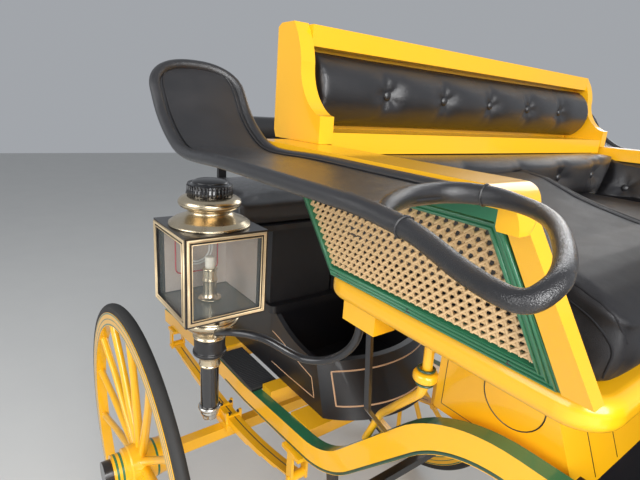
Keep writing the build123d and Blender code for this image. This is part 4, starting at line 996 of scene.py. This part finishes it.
def shape_seat(rows):
    """Bring the tops to their lines, raise round borders beside the seams and bulge the front."""
    low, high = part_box("seat_cushion")
    forward = rows[:, 0] - rear_axle.x
    wedge_flat = np.interp(forward, (0.729, 1.108), (wedge_high.z, wedge_low.z + 0.014))
    on_wedge = 1 / (1 + np.exp((rows[:, 1] - wedge_high.y + 0.004) / 0.003))
    flat = high.z + (wedge_flat - high.z) * on_wedge * (forward > 0.722)
    far = wedge_high.y - rows[:, 1]
    border = 0.005 * ridge(far, 0.010, 0.008) + 0.004 * ridge(far, 0.032, 0.007) - 0.005 * ridge(far, 0.021, 0.003)
    passenger = np.interp(forward, (0.66, 1.03, 1.06, 1.09, 1.11), (1.449, 1.449, 1.443, 1.428, 1.41))
    target = passenger + (wedge_top(forward) + border - passenger) * on_wedge
    share = np.clip((rows[:, 2] - low.z) / (flat - low.z), 0, 1.02)
    rows[:, 2] = low.z + share * (target - low.z)
    nose = np.clip((forward - 1.04) / 0.05, 0, 1)
    rows[:, 0] += 0.017 * nose * np.sin(np.clip(share, 0, 1) * math.pi) ** 0.6
    side = np.clip((-0.39 - rows[:, 1]) / 0.015, 0, 1)
    rows[:, 1] -= 0.003 * side * ridge(rows[:, 2], target - 0.013, 0.010)
    return rows


seat_values = ("seat_leather", "seat_cushion driver_cushion", (0, 0, 1), 0.007, 0.004, 0.0, 0.85)
seat = cushion(*seat_values, shape=shape_seat, shrink=-0.0004, skin=top_leather)


def ray_hits(skin, starts, direction, proud):
    """Where rays meet a surface, moved out of it by a distance, and the way it faces there."""
    places, facings = [], []
    for start in starts:
        hit, normal, _, _ = skin.ray_cast(Vector(start), Vector(direction))
        if hit:
            facings.append(np.array(normal))
            places.append(np.array(hit) + facings[-1] * proud)
    return places, facings


# piping seen from the side: place forward and height of the lower row, round the front corner
lower_corners = [
    (0.76, 1.489), (0.86, 1.461), (0.95, 1.443), (1.02, 1.440), (1.05, 1.434),
    (1.077, 1.422), (1.097, 1.403), (1.103, 1.39), (1.102, 1.375), (1.099, 1.357),
]
beside, along_top = (0, 1, 0), np.arange(0.76, 1.112, 0.01)
lower_row = [(at(x), -0.6, z) for x, z in smooth_path(lower_corners, 5)]
upper_row = [(at(x), -0.465, wedge_top(x) + 0.058) for x in along_top]
near_seam = [(at(x), wedge_high.y - 0.021, 1.7) for x in np.arange(0.76, 1.118, 0.012)]
far_seam = [(at(x), wedge_high.y - 0.043, 1.7) for x in np.arange(0.76, 1.10, 0.012)]
seat_skin = skin_tree(seat)
piping = [
    ray_hits(seat_skin, starts, direction, -sink)[0]
    for starts, direction, sink in (
        (lower_row, beside, 0.0005),
        (upper_row, (0, 1, -1), 0.0005),
        (near_seam, (0, 0, -1), 0.0002),
        (far_seam, (0, 0, -1), 0.0009),
    )
]
tubes("seat_piping", piping, 0.0016, piping_leather, sides_count=8)
print("piping runs:", [len(path) for path in piping])

# %% [markdown]
# The rear seat has a flat cushion and a leather roll on its back rail.

# %% Rear seat leather
cushion("rear_cushion_leather", "rear_cushion", (0, 0, 1), 0.008, 0.01, 0.006, 0.7)
cushion("rear_pad_leather", "rear_back_pad", (-1, 0, 0), 0.007, 0.006, 0.003, 0.8)
print("rear leather done")

# %% [markdown]
# ## Wings
# A wing is an iron frame covered in leather, which keeps the road's mud off the seat. Round cord is
# rolled into its edge, so the panel lies a little lower than its rim. The tail curls up, and the front
# runs out into an open loop. The panel is a grid bent along the side line, and the rim and the loop are
# one tube whose thickness changes along its path.

# %% Wing lines
# the panel's side line: place forward of the rear axle and height
wing_corners = [
    (1.035, 1.557), (0.90, 1.557), (0.78, 1.557), (0.70, 1.554), (0.664, 1.555), (0.635, 1.562), (0.602, 1.580),
    (0.575, 1.603), (0.556, 1.629), (0.540, 1.651), (0.524, 1.672),
]
wing_line = np.array(smooth_path(wing_corners, 6))
wing_inner, wing_outer, rim = 0.5668, 0.7045, 0.0072
wing_middle, wing_half = (wing_inner + wing_outer) / 2, (wing_outer - wing_inner) / 2
# the loop: place forward, distance outward, height and thickness factor
loop_line = (
    (1.034, 0.703, 1.551, 0.8), (1.019, 0.682, 1.556, 1.05), (1.005, 0.648, 1.558, 1.25), (1.003, 0.617, 1.559, 1.35),
    (1.008, 0.598, 1.560, 1.35), (1.022, 0.585, 1.561, 1.3), (1.045, 0.581, 1.562, 1.2), (1.072, 0.589, 1.562, 1.0),
    (1.095, 0.603, 1.562, 0.92), (1.122, 0.633, 1.562, 0.86), (1.153, 0.683, 1.561, 0.83), (1.169, 0.7166, 1.558, 0.83),
    (1.171, 0.7318, 1.553, 0.83), (1.166, 0.7394, 1.548, 0.84), (1.152, 0.7378, 1.546, 0.86),
    (1.120, 0.7257, 1.546, 0.93), (1.072, 0.709, 1.551, 1.0), (1.030, 0.7045, 1.555, 1.05), (1.0, 0.7045, 1.557, 1.08),
)
line_run = np.concatenate(([0.0], np.cumsum(np.linalg.norm(np.diff(wing_line, axis=0), axis=1))))
line_full = line_run[-1]
ROUND_TAIL = 0.05


def line_place(run):
    """Forward place and height at a distance along the side line."""
    return float(np.interp(run, line_run, wing_line[:, 0])), float(np.interp(run, line_run, wing_line[:, 1]))


def half_share(run):
    """Share of the panel's half width at a distance along the side line. The tail is rounded."""
    left = (line_full - run) / ROUND_TAIL
    return 1.0 if left >= 1 else (1 - (1 - max(left, 0.0)) ** 2.3) ** (1 / 2.3)


def line_runs(first, straight_count, last_share, tail_count):
    """Distances along the side line, closer together round the tail."""
    tail = 1 - np.sin(np.linspace(0.05, last_share, tail_count) * math.pi / 2)
    return np.concatenate((np.linspace(first, line_full - ROUND_TAIL, straight_count), line_full - ROUND_TAIL * tail))


# %% Wing panels, rims and loops
def face_out(obj):
    """Turn every face of a closed mesh outward."""
    whole = bmesh.new()
    whole.from_mesh(obj.data)
    bmesh.ops.recalc_face_normals(whole, faces=whole.faces)
    whole.to_mesh(obj.data)
    whole.free()


def wing_panel(side, sign):
    """The bent panel with a thickness, inside the rim."""
    runs = line_runs(0.022, 60, 1, 14)
    wide, long = 15, len(runs)
    points = []
    for layer, lift in ((0, 0.0022), (1, -0.0030)):
        for run in runs:
            forward, height = line_place(run)
            ahead, behind = line_place(min(run + 0.004, line_full)), line_place(max(run - 0.004, 0.0))
            slope = math.atan2(ahead[1] - behind[1], behind[0] - ahead[0])
            for k in range(wide):
                t = -1 + 2 * k / (wide - 1)
                high = lift if layer else lift - 0.0016 * (1 - t**4)
                y = wing_middle + t * wing_half * half_share(run)
                points.append((at(forward + high * math.sin(slope)), sign * y, height + high * math.cos(slope)))
    faces = []
    for layer in (0, 1):
        for i in range(long - 1):
            for k in range(wide - 1):
                a = (layer * long + i) * wide + k
                quad = (a, a + 1, a + wide + 1, a + wide)
                faces.append(quad if (layer == 0) == (sign > 0) else quad[::-1])
    border = list(range(wide)) + [i * wide + wide - 1 for i in range(1, long)]
    border += [(long - 1) * wide + k for k in range(wide - 2, -1, -1)] + [i * wide for i in range(long - 2, 0, -1)]
    for a, b in zip(border, border[1:] + border[:1]):
        quad = (a, a + long * wide, b + long * wide, b)
        faces.append(quad if sign > 0 else quad[::-1])
    panel = link_mesh(f"wing_panel_{side}", points, faces=faces)
    face_out(panel)
    dress(panel, wing_leather)
    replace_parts(keep(panel), f"wing_{side}")


def edge_runs(runs, sign, way, inset=0.0, ahead=0.0, lift=0.0):
    """One long edge of the panel, moved inward by an inset. Way is 1 for the outer edge."""
    path = []
    for run in runs:
        forward, height = line_place(run)
        out = way * (wing_half - inset) * half_share(run)
        path.append((at(forward + ahead), sign * (wing_middle + out), height + lift))
    return path


LOOP_STEPS = 7
for side, sign in sides:
    wing_panel(side, sign)
    runs = line_runs(0.03, 40, 0.985, 16)
    tip = line_place(line_full)
    path = edge_runs(runs, sign, 1) + [(at(tip[0]), sign * wing_middle, tip[1])] + edge_runs(runs, sign, -1)[::-1]
    loop = np.array(smooth_path([(at(x), sign * y, z, t) for x, y, z, t in loop_line], LOOP_STEPS))
    spine, radii = loop[:, :3], rim * loop[:, 3]
    thick = list(loop[:, 3]) + [1.1] * (len(path) - 1)
    rim_tube = tubes(f"wing_rim_{side}", [list(spine) + path[1:]], rim, wing_leather, sides_count=18, thick=thick)
    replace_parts(rim_tube, f"wing_{side}")
    # the welt beside the rim
    runs = line_runs(0.05, 40, 0.9, 12)
    welt = edge_runs(runs, sign, 1, 0.0125, 0.001, 0.0026) + edge_runs(runs, sign, -1, 0.0125, 0.001, 0.0026)[::-1]
    tubes(f"wing_welt_{side}", [welt], 0.0011, wing_leather, sides_count=8)
    # cuffs where the loop's cover is sewn on
    cuffs = []
    for k in (int(5.6 * LOOP_STEPS), int(16.4 * LOOP_STEPS)):
        axis = unit(spine[k + 1] - spine[k])
        side_way = unit(np.cross(axis, (0, 0, 1)))
        reach = radii[k] + 0.0002
        cuffs.append(ring(spine[k], reach * side_way, reach * np.cross(side_way, axis), 24))
    tubes(f"wing_cuffs_{side}", cuffs, 0.0011, wing_leather, closed=True, sides_count=8)
    # a row of stitches under the outer half of the loop
    seats, ways = [], []
    for k in range(9 * LOOP_STEPS, 18 * LOOP_STEPS - 2):
        axis = unit(spine[k + 1] - spine[k])
        outward = unit(np.cross(axis, (0, 0, 1)) * -sign)
        spot = spine[k] + (outward * 0.75 + np.array((0, 0, -0.66))) * (radii[k] + 0.0001)
        seats += [spot, spot + (spine[k + 1] - spine[k]) * 0.5]
        ways += [axis, axis]
    row(f"wing_stitches_{side}", small["stitch"], seats, ways, thread)
print("wing side line:", round(line_full, 3))

# %% [markdown]
# ## Lamps
# Each lamp is a black japanned case with brass frames, bevelled glass, a turned brass chimney and a
# candle tube below. The frames are mitred strips with two beads. The turned parts are outlines spun
# about the lamp's upright axis, finer than the CAD's, and they sit over the CAD's turnings. Inside are
# a bright lining that throws the light forward, a candle, and a round reflector with a red rim.

# %% Turned pieces
lamp_box_low, lamp_box_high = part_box("lamp_cases")
lamp_low, lamp_high, lamp_half = lamp_box_low.z, lamp_box_high.z, (lamp_box_high.x - lamp_box_low.x) / 2
lamp_x, lamp_out, lining_inset = at(0.372), 0.540, 0.016


def turned(name, axis, base, outline, material, segments=56):
    """A turned piece about an upright axis, from corners of radius and height above a base."""
    path = smooth_path([(r, base + z) for r, z in outline], 3)
    points, faces = spun(path, segments, *axis)
    obj = link_mesh(name, points, faces=faces)
    face_out(obj)
    dress(obj, material)
    for face in obj.data.polygons[-2:]:
        face.use_smooth = False
    return keep(obj)


# each turning: its base, material, count of sides, and corners of radius and height in millimetres
turnings = {
    "lamp_chimney": (lamp_high, brass, 56, (
        (84.3, 0.6), (85.0, 3), (83, 6.0), (78, 7.8), (77.5, 10.2), (70, 14.2), (58, 19.0), (49, 24.0), (45.5, 29),
        (47.5, 33.5), (55, 36.5), (62.0, 40.5), (65.0, 46.0), (64.0, 52.0), (59, 57.5), (52, 60.5), (46.5, 61.5))),
    "lamp_cap": (lamp_high, black_iron, 56, (
        (42.5, 62.8), (44.5, 64.0), (44.5, 83.0), (42, 85.0), (36, 86.2), (36.5, 88.5), (34, 91.5), (24, 95.0),
        (10, 96.8), (1, 97.0))),
    "lamp_dish": (lamp_low, brass, 56, (
        (29.5, -77.0), (36, -76.5), (37.5, -73), (35.5, -69), (40, -61), (50, -51), (60.0, -41), (65.5, -33),
        (66.5, -27), (63, -22), (65.5, -16), (66.5, -0.5))),
    "lamp_socket": (lamp_low, black_paint, 56, (
        (29.5, -77.5), (34, -78.5), (35, -82), (35, -108), (37.5, -111), (37.5, -117), (34, -120), (29.5, -124),
        (22.2, -124.5))),
    "lamp_ring": (lamp_low, brass, 56, (
        (21.6, -124.6), (24.0, -125.0), (24.8, -128.0), (23.6, -131.0), (23.6, -144.0), (24.8, -147.0), (24.0, -150.0),
        (21.6, -150.4))),
    "lamp_foot": (lamp_low, silver, 56, (
        (21.6, -258), (25.0, -258.5), (26.5, -262.5), (25.0, -267.0), (22.5, -269.0), (22.2, -276.0), (16.5, -290),
        (16.0, -293.5))),
    "candle_holder": (lamp_low + lining_inset, brass, 32, (
        (24, 0), (24.5, 3), (15.5, 6), (15.0, 40), (16.5, 42), (16.5, 46), (15.0, 48), (15.0, 66), (16.3, 68),
        (15.0, 71), (10.5, 71.2))),
    "candle": (lamp_low + lining_inset, wax, 24, ((10.0, 71.4), (10.0, 93), (7.5, 96.5), (1, 97.5))),
}
for side, sign in sides:
    axis = (lamp_x, sign * lamp_out)
    for name, (base, material, segments, outline) in turnings.items():
        metres = [(r / 1000, z / 1000) for r, z in outline]
        turned(f"{name}_{side}", axis, base, metres, material, segments)
    ribs = ring((*axis, lamp_high + 0.0735), (0.0452, 0, 0), (0, 0.0452, 0), 38)
    row(f"lamp_cap_ribs_{side}", small["rib"], ribs, [(0, 0, 1)] * len(ribs), black_iron)
print("lamp turnings:", len(turnings) * 2)

# %% Lamp frames and inside
frame_paths, frame_ups, bead_runs = [], [], []
for side, sign in sides:
    middle = np.array((lamp_x, sign * lamp_out, (lamp_low + lamp_high) / 2))
    for out, level in (((1, 0, 0), (0, 1, 0)), ((0, sign, 0), (1, 0, 0))):
        for inset, proud in ((0.0095, 0.0001), (0.0050, 0.0011), (0.0140, 0.0011)):
            across = np.array(level) * (lamp_half - inset)
            up = np.array((0, 0, (lamp_high - lamp_low) / 2 - inset))
            face_middle = middle + np.array(out) * (lamp_half + proud)
            corners = [face_middle + a * across + b * up for a, b in ((-1, -1), (1, -1), (1, 1), (-1, 1))]
            if inset == 0.0095:
                frame_paths.append(corners)
                frame_ups.append(out)
            else:
                bead_runs.append(corners)
coach_lines("lamp_frames", frame_paths, frame_ups, 0.0115, dull_brass, closed=True, height=0.0012)
tubes("lamp_frame_beads", bead_runs, 0.0015, dull_brass, closed=True, sides_count=10)


def plate(name, corners, thickness, material):
    """A flat sheet with a thickness, from its four corners in order."""
    corners = [np.array(corner, float) for corner in corners]
    up = unit(np.cross(corners[1] - corners[0], corners[2] - corners[0])) * thickness
    faces = [(3, 2, 1, 0), (4, 5, 6, 7)] + [(i, (i + 1) % 4, 4 + (i + 1) % 4, 4 + i) for i in range(4)]
    obj = link_mesh(name, corners + [corner + up for corner in corners], faces=faces)
    obj.data.materials.append(material)
    return keep(obj)


inner = lamp_half - lining_inset
half_y, half_z, bend = 0.050, 0.048, 0.012
for side, sign in sides:
    x, y, back = lamp_x, sign * lamp_out, lamp_x - inner
    low, high, far = lamp_low + lining_inset, lamp_high - lining_inset, y - sign * inner
    back_corners = [(back, y - inner, low), (back, y + inner, low), (back, y + inner, high), (back, y - inner, high)]
    plate(f"lamp_back_{side}", back_corners, 0.001, lining)
    cheek = [(back, far, low), (x + inner, far, low), (x + inner, far, high), (back, far, high)]
    plate(f"lamp_cheek_{side}", cheek[::sign], 0.001, lining)
    rings = [ring((back + 0.004, y, lamp_low + 0.110), (0, reach, 0), (0, 0, reach), 36) for reach in (0.030, 0.036)]
    tubes(f"reflector_rings_{side}", rings, 0.0022, white_enamel, closed=True, sides_count=8)
    rim_path = []
    for qy, qz, start in ((1, 1, 0), (-1, 1, 90), (-1, -1, 180), (1, -1, 270)):
        for a in (math.radians(start + turned_by) for turned_by in (0, 30, 60, 90)):
            rim_y, rim_z = qy * (half_y - bend) + bend * math.cos(a), qz * (half_z - bend) + bend * math.sin(a)
            rim_path.append((back + 0.003, y + rim_y, lamp_low + 0.104 + rim_z))
    tubes(f"reflector_rim_{side}", [rim_path], 0.0016, red_glass, closed=True, sides_count=8)
print("lamp frames:", len(frame_paths))

# %% [markdown]
# ## Coach lining
# Lining is the thin painted lines that a coach painter draws with a long soft brush. Each one here is
# a flat ribbon that lies on a CAD face. Rays cast on the solid find the places, so a line on the bowed
# footwell follows its curve.

# %% Lines on the box and footwell
LINE_PROUD = 0.0001


def lines_on(name, node, runs, direction, width, material, **options):
    """Painted lines where the runs fall on a CAD node."""
    hits = [ray_hits(skin_tree(nodes[node]), run, direction, LINE_PROUD) for run in runs]
    coach_lines(name, [places for places, _ in hits], [ups for _, ups in hits], width, material, **options)


def straight(first, last, count=12):
    """Points on a straight run."""
    first, last = np.asarray(first, float), np.asarray(last, float)
    return [first + (last - first) * i / (count - 1) for i in range(count)]


def round_trip(corners, steps):
    """Points round a closed outline, with this many steps on each side."""
    corners = [np.array(corner, float) for corner in corners]
    return [a + (b - a) * k / steps for a, b in zip(corners, corners[1:] + corners[:1]) for k in range(steps)]


box_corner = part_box("seat_box")[0]
rear_edge, low_edge, ahead = box_corner.x + 0.016, box_corner.z + 0.016, at(2.0)
for side, sign in sides:
    circle = ring((at(0.942), sign, 1.185), (0.055, 0, 0), (0, 0, 0.055), 40)
    lines_on(f"box_circle_{side}", "seat_box", [circle], (0, -sign, 0), 0.0022, line_black, closed=True)
    foot = (rear_edge, sign, low_edge)
    runs = [straight(foot, (rear_edge, sign, 1.28)), straight(foot, (at(1.03), sign, low_edge))]
    lines_on(f"box_side_lines_{side}", "seat_box", runs, (0, -sign, 0), 0.0013, line_black)
front_runs = [straight((ahead, y, 1.062), (ahead, y, 1.29)) for y in (-0.183, 0.183, -0.1, 0.1)]
lines_on("box_front_lines", "seat_box", front_runs, (-1, 0, 0), 0.0022, line_black)
# the rear footwell: a rectangle on its bowed front, and an outline on each side
reach, low, high = 0.193, 0.826, 0.918
bow = round_trip([(ahead, y, z) for y, z in ((-reach, high), (reach, high), (reach, low), (-reach, low))], 24)
lines_on("footwell_front_line", "rear_footwell", [bow], (-1, 0, 0), 0.0045, line_peach, closed=True)
well_side = (
    (0.07, 0.935), (0.15, 0.93), (0.202, 0.92), (0.30, 0.895),
    (0.355, 0.885), (0.373, 0.828), (0.24, 0.824), (0.12, 0.824),
)
for side, sign in sides:
    path = round_trip([(at(x), sign, z) for x, z in well_side], 6)
    lines_on(f"footwell_side_line_{side}", "rear_footwell", [path], (0, -sign, 0), 0.0035, line_peach)
print("box and footwell lined")

# %% [markdown]
# The sills have a green lower edge on their outer faces, the springs a black line along their top leaf,
# and the scroll irons a green ring above and below each collar.

# %% Lines on sills, springs and irons
sill_out = abs(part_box("sills")[0].y)
sill_skin = skin_tree(nodes["sills"])
leaf_middle = 0.0225
collar_forward, collar_out, collar_radius, collar_heights = 0.866, 0.398, 0.0128, (1.2185, 1.2435)
rings = []
for side, sign in sides:
    starts = [(at(x), sign * (sill_out - 0.006), 0.0) for x in np.arange(0.0, 1.66, 0.012)]
    under, _ = ray_hits(sill_skin, starts, (0, 0, 1), 0.0)
    path = [(place[0], sign * (sill_out + LINE_PROUD), place[2] + 0.0052) for place in under]
    coach_lines(f"sill_edge_line_{side}", [path], [(0, sign, 0)], 0.0065, line_green)
    for node, body in (("rear_springs", "carriage"), ("front_springs", "fore_carriage")):
        low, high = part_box(node)
        y = sign * (abs(low.y) - leaf_middle)
        run = [(x, y, 1.2) for x in np.arange(low.x + 0.05, high.x - 0.05, 0.012)]
        options = {"slot": "yellow_iron", "body": body}
        lines_on(f"{node}_line_{side}", node, [run], (0, 0, -1), 0.0035, line_black, **options)
    middles = [(at(collar_forward), sign * collar_out, z) for z in collar_heights]
    rings += [ring(middle, (collar_radius, 0, 0), (0, collar_radius, 0), 24) for middle in middles]
tubes("iron_rings", rings, 0.0022, line_green, closed=True, sides_count=8)
print("sill and spring lines done")

# %% [markdown]
# ## Nuts, bolts and mats
# Nuts hold the springs and irons, so they sit in rows on the CAD plates. The rubber mats on the steps
# have ribs, one small strip repeated across each mat.

# %% Nuts and mat ribs
spring_y = abs(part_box("rear_springs")[0].y) - leaf_middle
corners = [(dx, dy) for dx in (-0.03, 0.03) for dy in (-0.018, 0.018)]
starts = [(rear_axle.x + dx, sign * (spring_y + dy), 2.0) for _, sign in sides for dx, dy in corners]
nuts, ways = ray_hits(skin_tree(nodes["spring_clamps"]), starts, (0, 0, -1), 0.0)
nuts = [nut for nut, way in zip(nuts, ways) if way[2] > 0.9]
row("clamp_nuts", small["hex_nut"], nuts, [(0, 0, 1)] * len(nuts), black_iron, 0.8)
bolts, bolt_ways = [], []
frame_skin, mat_skin = skin_tree(nodes["cane_frames"]), skin_tree(nodes["step_mats"])
mat_low, mat_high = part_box("step_mats")
mat_out = max(abs(mat_low.y), abs(mat_high.y))
mat_paths = []
for side, sign in sides:
    places, facings = ray_hits(frame_skin, [(at(x), sign * 1.2, 1.352) for x in (0.70, 0.86, 1.02)], (0, -sign, 0), 0.0)
    bolts += places
    bolt_ways += facings
    for x in np.arange(mat_low.x + 0.006, mat_high.x - 0.005, 0.009):
        starts = [(x, sign * y, 2.0) for y in np.linspace(0.0, mat_out, 60)]
        places, _ = ray_hits(mat_skin, starts, (0, 0, -1), 0.0)
        if len(places) > 1 and np.linalg.norm(places[-1] - places[0]) > 0.02:
            mat_paths.append([places[0], places[-1]])
row("small_bolts", small["bolt_head"], bolts, bolt_ways, black_iron, 0.55)
tubes("mat_ribs", mat_paths, 0.0014, mat_rubber, sides_count=6)
print("nuts:", len(nuts), "bolts:", len(bolts), "mat ribs:", len(mat_paths))

# %% [markdown]
# ## Light and floor
# A large soft light from the front right acts as open sky, a second one fills the shadows, and a pale
# floor bounces light up to the underside.

# %% Stage
floor_half = 14.0
corners = [(x * floor_half, y * floor_half, 0) for x, y in ((-1, -1), (1, -1), (1, 1), (-1, 1))]
floor = link_mesh("floor", corners, faces=[(0, 1, 2, 3)])
floor.data.materials.append(finish("pale_floor", "floor", (0.6, 0.6, 0.58), (0.56, 0.56, 0.55), 0.0, 0.6, 3.0, 0.0))


def area_light(name, place, size, power):
    """A square soft light that points at the middle of the carriage."""
    data = bpy.data.lights.new(name, "AREA")
    data.energy = power
    data.size = size
    light = bpy.data.objects.new(name, data)
    light.location = place
    light.rotation_mode = "QUATERNION"
    light.rotation_quaternion = (Vector((at(0.7), 0, 1.0)) - Vector(place)).to_track_quat("-Z", "Y")
    bpy.context.scene.collection.objects.link(light)


area_light("sky key", (at(4.4), -1.5, 2.9), 3.2, 300)
area_light("fill", (at(0.6), -4.6, 2.4), 3.0, 110)
area_light("back light", (at(-1.2), 4.4, 3.0), 2.6, 60)
world = bpy.data.worlds.new("studio")
world.use_nodes = True
background = world.node_tree.nodes["Background"]
background.inputs["Color"].default_value = (0.86, 0.9, 0.96, 1)
background.inputs["Strength"].default_value = 0.42
bpy.context.scene.world = world
